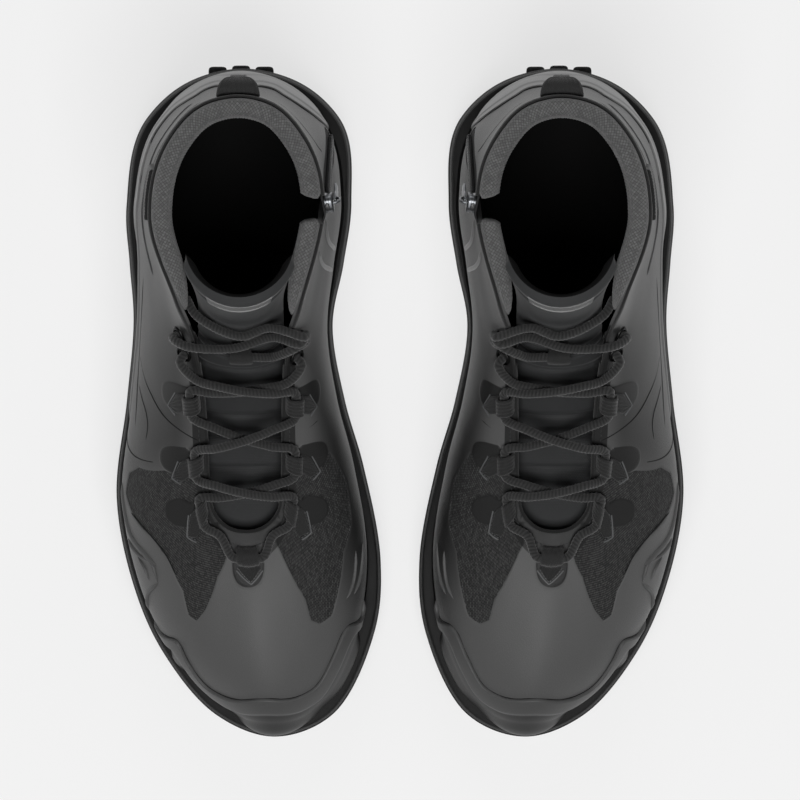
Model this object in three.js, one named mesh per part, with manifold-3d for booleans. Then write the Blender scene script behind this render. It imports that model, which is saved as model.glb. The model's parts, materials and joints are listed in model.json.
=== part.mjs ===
// A pair of mid-cut hiking boots with cord laces and a zip on the inner ankle.
// Millimetres, +Z up, toes towards -Y. The origin is on the ground, midway between the two boots.
// The left boot is built on the +X side; the right boot is its mirror image.
import * as THREE from 'three';
import { mergeVertices } from 'three/addons/utils/BufferGeometryUtils.js';
import Module from 'manifold-3d';

const wasm = await Module();
wasm.setup();

// ---- Driving dimensions ----
const BOOT_LENGTH = 305; // heel lugs to toe, at the ground
const BOOT_WIDTH = 120; // across the ball of the foot
const BOOT_GAP = 17.6; // between the two boots, at the balls of the feet
const COLLAR_HEIGHT = 151; // back of the collar above the ground
const UPPER_WALL = 3; // outer fabric, foam and lining together
const OVERLAY_WALL = 2; // moulded toe cap and heel cup
const CLEARANCE = 0.35; // between pieces that touch
const BOND_GAP = 0.8; // between the upper and what is bonded on it
const LUG_DEPTH = 4;
const TREAD_PLATE = 5;
const BOARD_THICKNESS = 2;
const FOOTBED_THICKNESS = 4.4;
const SHANK_THICKNESS = 1.4;
const SHANK_WIDTH = 26;
const TONGUE_THICKNESS = 5;
const PADDING_THICKNESS = 6.2;
const PADDING_DEPTH = 26;
const LACE_DIAMETER = 4;
const WEBBING_THICKNESS = 1.1;
const WEBBING_WIDTH = 9;
const ZIP_CHAIN_WIDTH = 5;
const ZIP_CHAIN_THICKNESS = 2.2;
const ZIP_SLOT = 6.4; // half the gap in the upper that holds the zip
const SLIDER_LENGTH = 11;
const PULL_TAB_WIDTH = 21;

// The last is drawn at the sizes above; these stretch it when a driving size changes.
const DRAWN = { length: 305, width: 120, height: 151 };
const stretchX = BOOT_WIDTH / DRAWN.width;
const stretchY = BOOT_LENGTH / DRAWN.length;
const stretchZ = COLLAR_HEIGHT / DRAWN.height;

// ---- The last ----
// Twenty columns run round the boot: 0 is the toe, 1 to 9 the outer side, 10 the heel, 11 to 19 the
// inner side. Each column climbs from the sole to the rim of the opening along a Bezier curve.
// Per column: sole edge [x, y], feather line, lower and upper control point, rim of the opening.
const LAST = [
  [[56.5, -152.5], [56.5, -147, 31], [56.5, -152, 60], [64, -118, 66], [69.5, -60, 79]],
  [[83.5, -142.5], [80.5, -134, 28], [88, -141, 55], [80, -106, 66], [78, -58, 79]],
  [[107, -115], [102.5, -109, 26], [111, -116, 52], [95, -84, 70], [84.5, -51, 80.5]],
  [[120.5, -85], [115.5, -82, 25], [125, -85, 50], [105, -56, 78], [86.8, -38, 85.5]],
  [[128.5, -44], [123, -45, 25], [132, -46, 50], [111, -29, 89], [87.5, -20, 94.5]],
  [[123.8, 0], [118.5, 0, 27], [127, 0, 58], [109, 5, 103], [89.5, 5, 109]],
  [[120.8, 36], [115.5, 38, 29], [122, 38, 65], [111, 32, 113], [93.5, 27, 127]],
  [[122.6, 62], [116.5, 64, 31], [121, 64, 70], [108, 53, 118], [101, 45, 146]],
  [[124, 88], [117, 90, 33], [121.5, 92, 70], [110, 86, 112], [112.5, 82, 147]],
  [[115.5, 126], [108, 121, 35], [112, 127, 70], [101, 118, 112], [104, 116, 149]],
  [[71.5, 150], [72.3, 144, 36], [72.3, 151.5, 66], [72.5, 136, 112], [72.5, 136, 151]],
  [[27, 126.5], [35, 122, 35], [32.5, 128, 70], [43, 119, 112], [42.5, 117, 149]],
  [[22, 90], [28, 91, 34], [24, 92, 72], [35.5, 90, 112], [34, 88, 147]],
  [[25.5, 62], [31.5, 61, 33], [27.5, 60, 72], [38, 52, 118], [44, 43, 146]],
  [[30.5, 34], [35.5, 31, 32], [29.5, 32, 68], [36, 29, 112], [49.5, 26, 127]],
  [[25, 0], [31, 0, 31], [24.5, 0, 62], [34, 3, 102], [51.5, 4, 108]],
  [[16.5, -30], [23, -32, 28], [15, -33, 56], [31, -25, 90], [52, -20, 94.5]],
  [[8.8, -72], [17, -72, 26], [9.5, -73, 52], [31, -52, 79], [52.5, -38, 85.5]],
  [[11.5, -105], [21.5, -105, 26.5], [14, -110, 53], [38, -83, 71], [54.5, -51, 80.5]],
  [[30, -142], [35.5, -134, 29], [28.5, -140, 56], [50, -106, 67], [61, -58, 79]],
];
const COLUMNS = LAST.length;
const HEEL = COLUMNS / 2;
const INNER_EDGE = Math.min(...LAST.map(([sole]) => sole[0]));

const place = ([x, y, z = 0]) =>
  new THREE.Vector3((x - INNER_EDGE) * stretchX + BOOT_GAP / 2, y * stretchY, z * stretchZ);

// A closed smooth curve through one point of every column, asked for by column number.
function rail(index) {
  const curve = new THREE.CatmullRomCurve3(LAST.map((column) => place(column[index])), true);
  return (u) => curve.getPoint((((u % COLUMNS) + COLUMNS) % COLUMNS) / COLUMNS);
}
const [soleEdge, feather, lowerControl, upperControl, rim] = [0, 1, 2, 3, 4].map(rail);

// A point of the upper's outer face: u is the column, v climbs from 0 at the sole to 1 at the rim.
function upperFace(u, v) {
  const w = 1 - v;
  return feather(u).multiplyScalar(w * w * w)
    .addScaledVector(lowerControl(u), 3 * w * w * v)
    .addScaledVector(upperControl(u), 3 * w * v * v)
    .addScaledVector(rim(u), v * v * v);
}
function upperNormal(u, v) {
  const step = 0.01;
  const around = upperFace(u + step, v).sub(upperFace(u - step, v));
  const up = upperFace(u, Math.min(v + step, 1)).sub(upperFace(u, Math.max(v - step, 0)));
  return around.cross(up).normalize();
}
const upperAt = (u, v, lift) => upperFace(u, v).addScaledVector(upperNormal(u, v), lift);
const along = (u, v) => upperFace(u + 0.05, v).sub(upperFace(u - 0.05, v)).normalize();

// Outward direction of a rail in the ground plane, and the rail moved inwards by a distance.
function outward(curve, u) {
  const t = curve(u + 0.02).sub(curve(u - 0.02));
  return new THREE.Vector3(t.y, -t.x, 0).normalize();
}
const inset = (curve, u, distance) => curve(u).addScaledVector(outward(curve, u), -distance);

// ---- Mesh helpers ----
function signedVolume(points, faces) {
  return faces.reduce(
    (sum, [a, b, c]) => sum + points[a].dot(new THREE.Vector3().crossVectors(points[b], points[c])),
    0,
  );
}
function meshOf(points, faces) {
  const out = signedVolume(points, faces) < 0 ? faces.map(([a, b, c]) => [a, c, b]) : faces;
  const geometry = new THREE.BufferGeometry().setFromPoints(points);
  geometry.setIndex(out.flat());
  geometry.computeVertexNormals();
  return geometry;
}
const quad = (a, b, c, d) => [[a, b, c], [a, c, d]];

// A plate between two matching grids of points, closed all round its rim.
function plateBetween(front, back) {
  const rows = front.length;
  const columns = front[0].length;
  const points = [...front.flat(), ...back.flat()];
  const at = (side, i, j) => side * rows * columns + i * columns + j;
  const faces = [];
  for (let i = 0; i + 1 < rows; i++) {
    for (let j = 0; j + 1 < columns; j++) {
      faces.push(...quad(at(0, i, j), at(0, i + 1, j), at(0, i + 1, j + 1), at(0, i, j + 1)));
      faces.push(...quad(at(1, i, j), at(1, i, j + 1), at(1, i + 1, j + 1), at(1, i + 1, j)));
    }
  }
  const edge = [];
  for (let i = 0; i + 1 < rows; i++) edge.push([i, 0]);
  for (let j = 0; j + 1 < columns; j++) edge.push([rows - 1, j]);
  for (let i = rows - 1; i > 0; i--) edge.push([i, columns - 1]);
  for (let j = columns - 1; j > 0; j--) edge.push([0, j]);
  edge.forEach(([i, j], n) => {
    const [k, l] = edge[(n + 1) % edge.length];
    faces.push(...quad(at(0, i, j), at(1, i, j), at(1, k, l), at(0, k, l)));
  });
  return meshOf(points, faces);
}
const steps = (from, to, count) =>
  Array.from({ length: count + 1 }, (_, i) => from + ((to - from) * i) / count);

// A panel of the upper between two columns and two heights, of some thickness, at some lift.
function panel({ from, to, low, high, lift, wall, across, up }) {
  const grid = (height) => evenly(from, to, across).map((u) =>
    steps(low(u), high(u), up).map((v) => upperAt(u, v, height)));
  return plateBetween(grid(lift + wall), grid(lift));
}

// A solid stacked from closed rings that all have the same number of points, lowest first. The two
// ends are closed by strips that join each point to its partner on the other side of the boot.
function stackOf(rings) {
  const count = rings[0].length;
  const points = rings.flat();
  const faces = [];
  rings.slice(1).forEach((_, r) => {
    for (let i = 0; i < count; i++) {
      const next = (i + 1) % count;
      faces.push(...quad(r * count + i, r * count + next, (r + 1) * count + next, (r + 1) * count + i));
    }
  });
  const last = (rings.length - 1) * count;
  for (let i = 0; i < count / 2; i++) {
    const other = (count - i) % count;
    const otherNext = count - i - 1;
    const strip = i === 0 ? [[0, 1, otherNext]]
      : i === count / 2 - 1 ? [[i, i + 1, other]]
        : quad(i, i + 1, otherNext, other);
    faces.push(...strip.map(([a, b, c]) => [a, c, b]));
    faces.push(...strip.map(([a, b, c]) => [last + a, last + b, last + c]));
  }
  return meshOf(points, faces);
}
// A bar of any section: its rings follow one another, and a fan closes each end.
function tubeOf(rings) {
  const width = rings[0].length;
  const faces = [];
  rings.slice(1).forEach((_, r) => {
    for (let i = 0; i < width; i++) {
      const next = (i + 1) % width;
      faces.push(...quad(r * width + i, r * width + next, (r + 1) * width + next, (r + 1) * width + i));
    }
  });
  const end = (rings.length - 1) * width;
  for (let i = 1; i + 1 < width; i++) faces.push([0, i + 1, i], [end, end + i, end + i + 1]);
  return meshOf(rings.flat(), faces);
}
const SOLE_STEPS = 48;
const soleCurve = new THREE.CatmullRomCurve3(LAST.map(([sole]) => place(sole)), true);
const SOLE_COLUMNS = steps(0, 1, SOLE_STEPS).slice(0, SOLE_STEPS)
  .map((share) => soleCurve.getUtoTmapping(share) * COLUMNS);
const ring = (point) => SOLE_COLUMNS.map(point);

// Column numbers between two columns, the same distance apart when measured halfway up the boot.
function evenly(from, to, count) {
  const samples = steps(from, to, 60);
  const lengths = [0];
  samples.slice(1).forEach((u, i) =>
    lengths.push(lengths[i] + upperFace(u, 0.5).distanceTo(upperFace(samples[i], 0.5))));
  return steps(0, lengths.at(-1), count).map((length) => {
    const next = Math.max(1, lengths.findIndex((reached) => reached >= length - 1e-6));
    const part = (length - lengths[next - 1]) / (lengths[next] - lengths[next - 1]);
    return samples[next - 1] + part * (samples[next] - samples[next - 1]);
  });
}

function solidOf(geometry) {
  const bare = new THREE.BufferGeometry().setAttribute('position', geometry.attributes.position.clone());
  if (geometry.index) bare.setIndex(geometry.index.clone());
  const merged = mergeVertices(bare.index ? bare.toNonIndexed() : bare, 1e-3);
  return new wasm.Manifold(new wasm.Mesh({
    numProp: 3,
    vertProperties: merged.attributes.position.array,
    triVerts: new Uint32Array(merged.index.array),
  }));
}
function geometryOf(solid) {
  const mesh = solid.getMesh();
  const geometry = new THREE.BufferGeometry();
  const position = new Float32Array(mesh.numVert * 3);
  for (let i = 0; i < mesh.numVert; i++) {
    for (let k = 0; k < 3; k++) position[3 * i + k] = mesh.vertProperties[i * mesh.numProp + k];
  }
  geometry.setAttribute('position', new THREE.BufferAttribute(position, 3));
  geometry.setIndex(new THREE.BufferAttribute(mesh.triVerts.slice(), 1));
  return geometry;
}

// Places a shape that was drawn flat: x, y and z of the drawing follow the three directions.
function stand(geometry, origin, x, y, z) {
  return geometry.applyMatrix4(new THREE.Matrix4().makeBasis(x, y, z).setPosition(origin));
}

// ---- Sole unit ----
const TOE_SPRING = { start: -85 * stretchY, rise: 12 };
const HEEL_BEVEL = { start: 125 * stretchY, rise: 2.5 };
function spring(y) {
  const toe = Math.max(0, (TOE_SPRING.start - y) / (BOOT_LENGTH / 2 + TOE_SPRING.start));
  const heel = Math.max(0, (y - HEEL_BEVEL.start) / (BOOT_LENGTH / 2 - HEEL_BEVEL.start));
  return TOE_SPRING.rise * toe * toe + HEEL_BEVEL.rise * heel * heel;
}
const plateTop = (y) => LUG_DEPTH + TREAD_PLATE + spring(y);
const raised = (point, z) => point.setZ(z);

// The floor that the foot stands over, level across the boot and set below the feather line.
const FLOOR_DROP = 6.3;
const floorLevel = (u) => (feather(u).z + feather(-u).z) / 2 - FLOOR_DROP;
const floorSamples = steps(0, HEEL, 40).map((u) => [
  (inset(feather, u, 6).y + inset(feather, -u, 6).y) / 2, floorLevel(u)]);
function floorAt(y) {
  const next = floorSamples.findIndex(([sample]) => sample >= y);
  if (next <= 0) return floorSamples[next === 0 ? 0 : floorSamples.length - 1][1];
  const [[y0, z0], [y1, z1]] = [floorSamples[next - 1], floorSamples[next]];
  return z0 + ((z1 - z0) * (y - y0)) / (y1 - y0);
}

const LUG_EDGE = 5; // tread blocks stop this far inside the sole's widest outline
const TREAD_INSET = 4;
function soleWidthAt(y) {
  const points = steps(0, COLUMNS, 240).map((u) => inset(soleEdge, u, LUG_EDGE));
  const cuts = points.slice(1).flatMap((b, i) => {
    const a = points[i];
    return (a.y - y) * (b.y - y) <= 0 && a.y !== b.y
      ? [a.x + ((b.x - a.x) * (y - a.y)) / (b.y - a.y)] : [];
  });
  return cuts.length ? [Math.min(...cuts), Math.max(...cuts)] : null;
}
function lug(outline) {
  const shape = new THREE.Shape(outline.map(([x, y]) => new THREE.Vector2(x, y)));
  const geometry = new THREE.ExtrudeGeometry(shape, { depth: LUG_DEPTH + 1.5, bevelEnabled: false });
  const position = geometry.attributes.position;
  for (let i = 0; i < position.count; i++) {
    position.setZ(i, position.getZ(i) + spring(position.getY(i)));
  }
  return solidOf(geometry);
}
const LUG_PITCH = 21;
const LUG_LENGTH = 13.5;
function lugs() {
  const made = [];
  const rows = Math.floor((BOOT_LENGTH - 42) / LUG_PITCH);
  const firstRow = -BOOT_LENGTH / 2 + 24;
  const pitch = (BOOT_LENGTH - 48) / rows;
  for (let row = 0; row <= rows; row++) {
    const y = firstRow + row * pitch;
    const half = LUG_LENGTH / 2;
    const front = soleWidthAt(y - half);
    const back = soleWidthAt(y + half);
    if (!front || !back) continue;
    const width = Math.min(front[1] - front[0], back[1] - back[0]);
    const side = width * 0.3;
    // A side block is a slanted four-sided block; the middle one is an arrow that points to the toe.
    made.push(lug([[front[0], y - half], [front[0] + side, y - half + 3],
      [back[0] + side - 3, y + half + 3], [back[0], y + half]]));
    made.push(lug([[front[1] - side, y - half + 3], [front[1], y - half], [back[1], y + half],
      [back[1] - side + 3, y + half + 3]]));
    const middle = (front[0] + front[1] + back[0] + back[1]) / 4;
    const reach = width * 0.14;
    made.push(lug([[middle, y - half - 3], [middle + reach, y - half + 3], [middle + reach, y + half],
      [middle, y + half - 5], [middle - reach, y + half], [middle - reach, y - half + 3]]));
  }
  return made;
}
const HEEL_BLOCKS = [-16, 0, 16];
function outsole() {
  const plate = solidOf(stackOf([
    ring((u) => { const p = inset(soleEdge, u, TREAD_INSET); return raised(p, LUG_DEPTH + spring(p.y)); }),
    ring((u) => { const p = inset(soleEdge, u, 1.6); return raised(p, LUG_DEPTH + 3 + spring(p.y)); }),
    ring((u) => { const p = inset(soleEdge, u, 1.4); return raised(p, plateTop(p.y)); }),
  ]));
  // Pull-off blocks that stand out behind the heel.
  const heel = soleEdge(HEEL);
  const blocks = HEEL_BLOCKS.map((offset) => solidOf(
    new THREE.BoxGeometry(11, 9, TREAD_PLATE - 0.6)
      .translate(heel.x + offset, BOOT_LENGTH / 2 - 4.5 - Math.abs(offset) * 0.12,
        LUG_DEPTH + TREAD_PLATE / 2 + 1.2)));
  return geometryOf([...lugs(), ...blocks].reduce((sum, block) => sum.add(block), plate));
}

const RIM_RISE = 2;
const RIM_GAP = 2.2; // the upper bulges outwards above the rim of the midsole
const LEDGE = UPPER_WALL + 1.2;
const DISH = 6;
function midsole() {
  const bottom = (u) => {
    const p = inset(soleEdge, u, 2.2);
    return raised(p, plateTop(p.y) + CLEARANCE);
  };
  const waist = (u) => {
    const p = soleEdge(u);
    return raised(p, plateTop(p.y) + (feather(u).z - plateTop(p.y)) * 0.45);
  };
  const body = solidOf(stackOf([
    ring(bottom),
    ring(waist),
    ring((u) => raised(inset(soleEdge, u, 2.2), feather(u).z + RIM_RISE)),
    ring((u) => raised(inset(feather, u, -RIM_GAP), feather(u).z + RIM_RISE)),
    ring((u) => raised(inset(feather, u, -CLEARANCE), feather(u).z - CLEARANCE)),
    ring((u) => raised(inset(feather, u, LEDGE), feather(u).z - CLEARANCE)),
    ring((u) => raised(inset(feather, u, DISH), floorLevel(u))),
  ]));
  return geometryOf(body.subtract(solidOf(shankPlate(CLEARANCE, 3))));
}
// A springy strip under the arch. It lies in a pocket of the midsole, below the board.
function shankPlate(grow, above) {
  const middle = (y) => {
    const u = 5 + (5 * (y - rim(5).y)) / (rim(HEEL).y - rim(5).y);
    return (feather(u).x + feather(-u).x) / 2;
  };
  const ends = [-25 * stretchY - grow, 78 * stretchY + grow];
  const half = SHANK_WIDTH / 2 + grow;
  const grid = (z) => steps(ends[0], ends[1], 5).map((y) =>
    [-half, half].map((x) => new THREE.Vector3(middle(y) + x, y, z(y))));
  const low = (y) => floorAt(y) - CLEARANCE - SHANK_THICKNESS - grow;
  return plateBetween(grid((y) => low(y) + SHANK_THICKNESS + grow + above), grid(low));
}
function insoleBoard() {
  const edge = (u) => inset(feather, u, DISH + CLEARANCE + 0.2);
  return stackOf([
    ring((u) => raised(edge(u), floorLevel(u) + CLEARANCE)),
    ring((u) => raised(edge(u), floorLevel(u) + CLEARANCE + BOARD_THICKNESS)),
  ]);
}
function footbed() {
  const base = (u) => floorLevel(u) + 2 * CLEARANCE + BOARD_THICKNESS;
  const cup = DISH + CLEARANCE + 0.6;
  return stackOf([
    ring((u) => raised(inset(feather, u, cup + 0.6), base(u))),
    ring((u) => raised(inset(feather, u, cup - 1.4), feather(u).z + CLEARANCE + 2)),
    ring((u) => raised(inset(feather, u, cup - 0.6), feather(u).z + 5)),
    ring((u) => raised(inset(feather, u, cup + 4), base(u) + FOOTBED_THICKNESS)),
  ]);
}

// ---- Upper ----
const ABOVE_SOLE = 0.06; // share of the height at which the bonded pieces start
const GAP_U = 0.02; // keeps neighbouring panels about half a millimetre apart
const VAMP = { outer: 3.3, inner: COLUMNS - 3.3 };
const ZIP = { topU: 12.05, lowU: 11.2, topV: 1, lowV: 0.28 };
const zipU = (v) => ZIP.topU + ((ZIP.lowU - ZIP.topU) * (ZIP.topV - v)) / (ZIP.topV - ZIP.lowV);
// Column width in millimetres at a height, to turn a distance into a share of a column.
const columnWidth = (u, v) => upperFace(u + 0.5, v).distanceTo(upperFace(u - 0.5, v));
const zipEdge = (v, side) => zipU(v) + (side * ZIP_SLOT) / columnWidth(zipU(v), v);

// A wall of the upper whose two upright edges may slant. Its outer face is the last's own face.
function wall(fromAt, toAt, low, across, up) {
  const shares = evenly(fromAt(0.5), toAt(0.5), across)
    .map((u) => (u - fromAt(0.5)) / (toAt(0.5) - fromAt(0.5)));
  const grid = (lift) => shares.map((share) => steps(low, 1, up).map((v) =>
    upperAt(fromAt(v) + (toAt(v) - fromAt(v)) * share, v, lift)));
  return plateBetween(grid(0), grid(-UPPER_WALL));
}
const WALL_FOOT = 0.004;
const upright = (u) => () => u;
const vamp = () => wall(upright(VAMP.inner - COLUMNS + GAP_U), upright(VAMP.outer - GAP_U), WALL_FOOT, 18, 6);
const outerQuarter = () =>
  laceHoled(wall(upright(VAMP.outer + GAP_U), upright(HEEL - GAP_U), WALL_FOOT, 18, 7), 1);
const heelQuarter = () => wall(upright(HEEL + GAP_U), (v) => zipEdge(v, -1), WALL_FOOT, 4, 8);
const innerQuarter = () =>
  laceHoled(wall((v) => zipEdge(v, 1), upright(VAMP.inner - GAP_U), WALL_FOOT, 11, 8), -1);

// Moulded pieces bonded on the outside. Their free edges rise and fall in waves.
const toeCap = () => panel({
  from: -2.6, to: 2.6, low: () => ABOVE_SOLE, across: 16, up: 4, lift: BOND_GAP, wall: OVERLAY_WALL,
  high: (u) => 0.42 - 0.14 * Math.pow(Math.abs(u) / 2.6, 4),
});
const HEEL_CUP_REACH = 2.1;
const heelCup = () => panel({
  from: HEEL - HEEL_CUP_REACH, to: HEEL + 0.95, low: () => ABOVE_SOLE, across: 13, up: 3,
  lift: BOND_GAP, wall: OVERLAY_WALL,
  high: (u) => 0.44 - 0.16 * Math.pow(Math.abs(u - HEEL) / HEEL_CUP_REACH, 2),
});

// Padding inside the rim, round the collar. Its section is a rounded bolster.
const PADDING_GAP = 1.3; // the padding floats inside the curved wall
const COLLAR = { outer: 6.95, inner: 13.05 };
const PADDING_TAPER = 0.7; // columns over which the padding thins towards the front
function padding(from, to, thinEnd, count) {
  const face = -UPPER_WALL - PADDING_GAP;
  const rings = evenly(from, to, count).map((u) => {
    const share = Math.min(1, Math.abs(u - thinEnd) / PADDING_TAPER);
    const thick = PADDING_THICKNESS * (0.35 + 0.65 * share);
    const height = rim(u).distanceTo(upperFace(u, 0.6)) / 0.4;
    // Lift from the outer face, and height above the rim, of each corner of the bolster.
    const section = [[face, -PADDING_DEPTH], [face, -PADDING_DEPTH * 0.66], [face, -PADDING_DEPTH * 0.33],
      [face, 0.5], [face - thick * 0.2, 3.2], [face - thick * 0.6, 3.8], [face - thick * 0.95, 1.6],
      [face - thick, -2.5], [face - thick * 0.9, -PADDING_DEPTH * 0.55],
      [face - thick * 0.35, -PADDING_DEPTH]];
    return section.map(([lift, rise]) => {
      const p = upperAt(u, 1 + Math.min(rise, 0) / height, lift);
      return p.setZ(p.z + Math.max(rise, 0));
    });
  });
  return tubeOf(rings);
}
const zipHalf = (ZIP_SLOT - 0.6) / columnWidth(ZIP.topU, 1);
const collarPad = () => padding(COLLAR.outer, ZIP.topU - zipHalf * 1.35, COLLAR.outer, 18);
const innerCollarPad = () => padding(ZIP.topU + zipHalf * 1.35, COLLAR.inner, COLLAR.inner, 4);

// ---- Tongue ----
// Middle line from under the vamp to above the collar, [y, z], with the half width of the tongue
// and how far its sides wrap back round the foot.
const TONGUE = [
  [-74, 64, 22, 4], [-45, 73, 24, 6], [-18, 85, 24, 8], [5, 101, 23, 12], [22, 119, 21, 17],
  [33, 137, 20.5, 23], [40, 151, 22, 26], [43.5, 161, 23, 27],
];
const tongueLine = new THREE.CatmullRomCurve3(
  TONGUE.map(([y, z]) => new THREE.Vector3(0, y * stretchY, z * stretchZ)));
const tongueShape = new THREE.CatmullRomCurve3(
  TONGUE.map(([, , half, wrap]) => new THREE.Vector3(half * stretchX, wrap, 0)));
const throatMiddle = (y) => {
  const u = 4 + (2 * (y - rim(4).y)) / (rim(6).y - rim(4).y);
  const clamped = THREE.MathUtils.clamp(u, 3, 6.5);
  return (rim(clamped).x + rim(-clamped).x) / 2;
};
function tongueAt(s, across, lift) {
  const middle = tongueLine.getPoint(s);
  const tangent = tongueLine.getTangent(s);
  const { x: half, y: wrap } = tongueShape.getPoint(s);
  const inwards = new THREE.Vector3(0, tangent.z, -tangent.y);
  const angle = (across * Math.PI) / 2.3;
  const facing = new THREE.Vector2(wrap * Math.sin(angle), half * Math.cos(angle))
    .normalize().multiplyScalar(lift);
  return new THREE.Vector3(throatMiddle(middle.y), middle.y, middle.z)
    .add(new THREE.Vector3(Math.sin(angle) * half + facing.x, 0, 0))
    .addScaledVector(inwards, wrap * (1 - Math.cos(angle)) - facing.y);
}
function tongue() {
  const grid = (lift) => steps(0, 1, 12).map((s) =>
    steps(-1, 1, 8).map((across) => tongueAt(s, across, lift)));
  return plateBetween(grid(0), grid(-TONGUE_THICKNESS));
}
// A small badge near the top of the tongue.
function tongueLabel() {
  const grid = (lift) => steps(0.875, 0.955, 3).map((s) =>
    steps(-0.42, 0.42, 6).map((across) => tongueAt(s, across, lift)));
  return plateBetween(grid(CLEARANCE + 1), grid(CLEARANCE));
}

// ---- Lacing ----
// Loop sites beside the throat, numbered from the toe. The lace runs along the throat in each.
const LOOP_U = [2.5, 3.7, 4.8];
const LOOP_V = 0.94;
const LACE_RADIUS = LACE_DIAMETER / 2;
const LOOP_ROOM = LACE_RADIUS + 0.8; // inner radius of a webbing loop
const LOOP_LIFT = CLEARANCE + LOOP_ROOM + 0.4; // height of the lace's middle above the upper
const LOOP_TAIL = 8;

// Where a lace runs through something: its middle, its way, and the two directions across it.
function siteOn(u, v, lift) {
  const normal = upperNormal(u, v);
  const way = along(u, v).multiplyScalar(u > COLUMNS / 2 || u < 0 ? -1 : 1);
  return { middle: upperAt(u, v, lift), way, normal };
}
const sideU = (u, side) => (side > 0 ? u : COLUMNS - u);
const loopSite = (u, side) => siteOn(sideU(u, side), LOOP_V, LOOP_LIFT);
const toeSite = () => siteOn(0, 0.94, LOOP_LIFT);

// Webbing folded over the lace, seen from its edge: a half round with a tail flat on the upper.
function loopProfile(tail) {
  const outer = LOOP_ROOM + WEBBING_THICKNESS;
  const base = CLEARANCE - LOOP_LIFT;
  const shape = new THREE.Shape();
  shape.moveTo(-tail - outer, base);
  shape.lineTo(-LOOP_ROOM, base);
  shape.lineTo(-LOOP_ROOM, 0);
  shape.absarc(0, 0, LOOP_ROOM, Math.PI, 0, true);
  shape.lineTo(LOOP_ROOM, base);
  shape.lineTo(outer, base);
  shape.lineTo(outer, 0);
  shape.absarc(0, 0, outer, 0, Math.PI, false);
  shape.lineTo(-outer - 0.6, base + WEBBING_THICKNESS);
  shape.lineTo(-tail - outer, base + WEBBING_THICKNESS);
  return shape;
}
function webbingLoop(tail, site, tailwards) {
  const z = site.way.clone().addScaledVector(site.normal, -site.way.dot(site.normal)).normalize();
  let x = new THREE.Vector3().crossVectors(site.normal, z);
  if (x.dot(tailwards) > 0) {
    x = x.negate();
    z.negate();
  }
  const flat = new THREE.ExtrudeGeometry(loopProfile(tail), {
    depth: WEBBING_WIDTH, bevelEnabled: false, curveSegments: 5,
  }).translate(0, 0, -WEBBING_WIDTH / 2);
  return stand(flat, site.middle, x, site.normal, z);
}
function sideLoop(u, side) {
  const down = upperFace(sideU(u, side), LOOP_V - 0.08).sub(upperFace(sideU(u, side), LOOP_V));
  return webbingLoop(LOOP_TAIL, loopSite(u, side), down);
}
const toeLoop = () => webbingLoop(LOOP_TAIL * 0.6, toeSite(), new THREE.Vector3(0, -1, 0));

// The lace is one cord. Both halves start at the toe loop, run through the first loop of their side
// and cross the throat between the others up to the eyelets, where they pass inside the upper and
// come out again through the slot above.
const EYELET = { u: 5.68, v: 0.915 };
const SLOT = { u: 6.02, v: 0.9 };
const throughLoop = (site) => [-0.75, 0, 0.75].map((share) =>
  site.middle.clone().addScaledVector(site.way, share * WEBBING_WIDTH));
function crossing(from, to, lift, bow) {
  return [0.22, 0.5, 0.78].map((share) => {
    const p = from.clone().lerp(to, share);
    const arch = 1 - Math.pow(2 * share - 1, 2);
    return p.add(new THREE.Vector3(0, -bow * arch, lift * (0.4 + 0.6 * arch)));
  });
}
function throughEyelet(side) {
  const point = ({ u, v }, lift, ahead) =>
    upperAt(sideU(u, side), v, lift).addScaledVector(siteOn(sideU(u, side), v, 0).way, ahead);
  const between = { u: (EYELET.u + SLOT.u) / 2, v: (EYELET.v + SLOT.v) / 2 };
  const overEdge = (u, lift) => upperAt(sideU(u, side), 1, lift);
  const outside = LACE_RADIUS + 2;
  const wallBack = -UPPER_WALL - 0.4;
  const inside = -UPPER_WALL - LACE_RADIUS - 1.4;
  return [
    overEdge(EYELET.u - 0.42, LACE_RADIUS + 1.4), point(EYELET, outside, -2.8), point(EYELET, 0, -0.4),
    point(EYELET, wallBack, 0.3), point(between, inside, 0), point(SLOT, wallBack, -0.3),
    point(SLOT, 0, 0.4), point(SLOT, outside, 1.2), overEdge(SLOT.u - 0.03, LACE_RADIUS + 2.2),
  ];
}
function half(side, lift) {
  const points = [upperAt(sideU(1.3, side), 0.97, LOOP_LIFT + 0.3)];
  let at = side;
  LOOP_U.forEach((u, i) => {
    const inLoop = throughLoop(loopSite(u, at));
    const next = i + 1 < LOOP_U.length ? throughLoop(loopSite(LOOP_U[i + 1], -at)) : throughEyelet(-at);
    points.push(...inLoop, ...crossing(inLoop[2], next[0], lift, 2.4));
    at = -at;
  });
  return [...points, ...throughEyelet(at)];
}
const UNDER = 1.2;
const OVER = 6.2;
function laceRoute() {
  const toe = throughLoop(toeSite());
  const keeper = tongueAt(KEEPER_S, 0, LOOP_LIFT + 0.2);
  const onTongue = (s, across) => tongueAt(s, across, LACE_RADIUS + 2.7);
  const besideKeeper = (distance) => keeper.clone().add(new THREE.Vector3(distance, 0, 0));
  const turnAt = (u, v, lift) => upperAt(sideU(u, -1), v, lift);
  return [
    onTongue(0.735, 0.85), onTongue(0.725, 0.6), onTongue(0.71, 0), onTongue(0.71, -0.4),
    turnAt(6.38, 1, LACE_RADIUS + 4.2), turnAt(6.3, 0.94, LACE_RADIUS + 3), turnAt(6.18, 1, LACE_RADIUS + 4),
    onTongue(0.645, -0.45), onTongue(0.63, 0.1),
    ...half(-1, OVER).reverse(), ...toe, ...half(1, UNDER),
    besideKeeper(-14), besideKeeper(-5), besideKeeper(0), besideKeeper(4.6),
  ];
}
const LACE_STEPS = 100;
const LACE_SIDES = 8;
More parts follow.
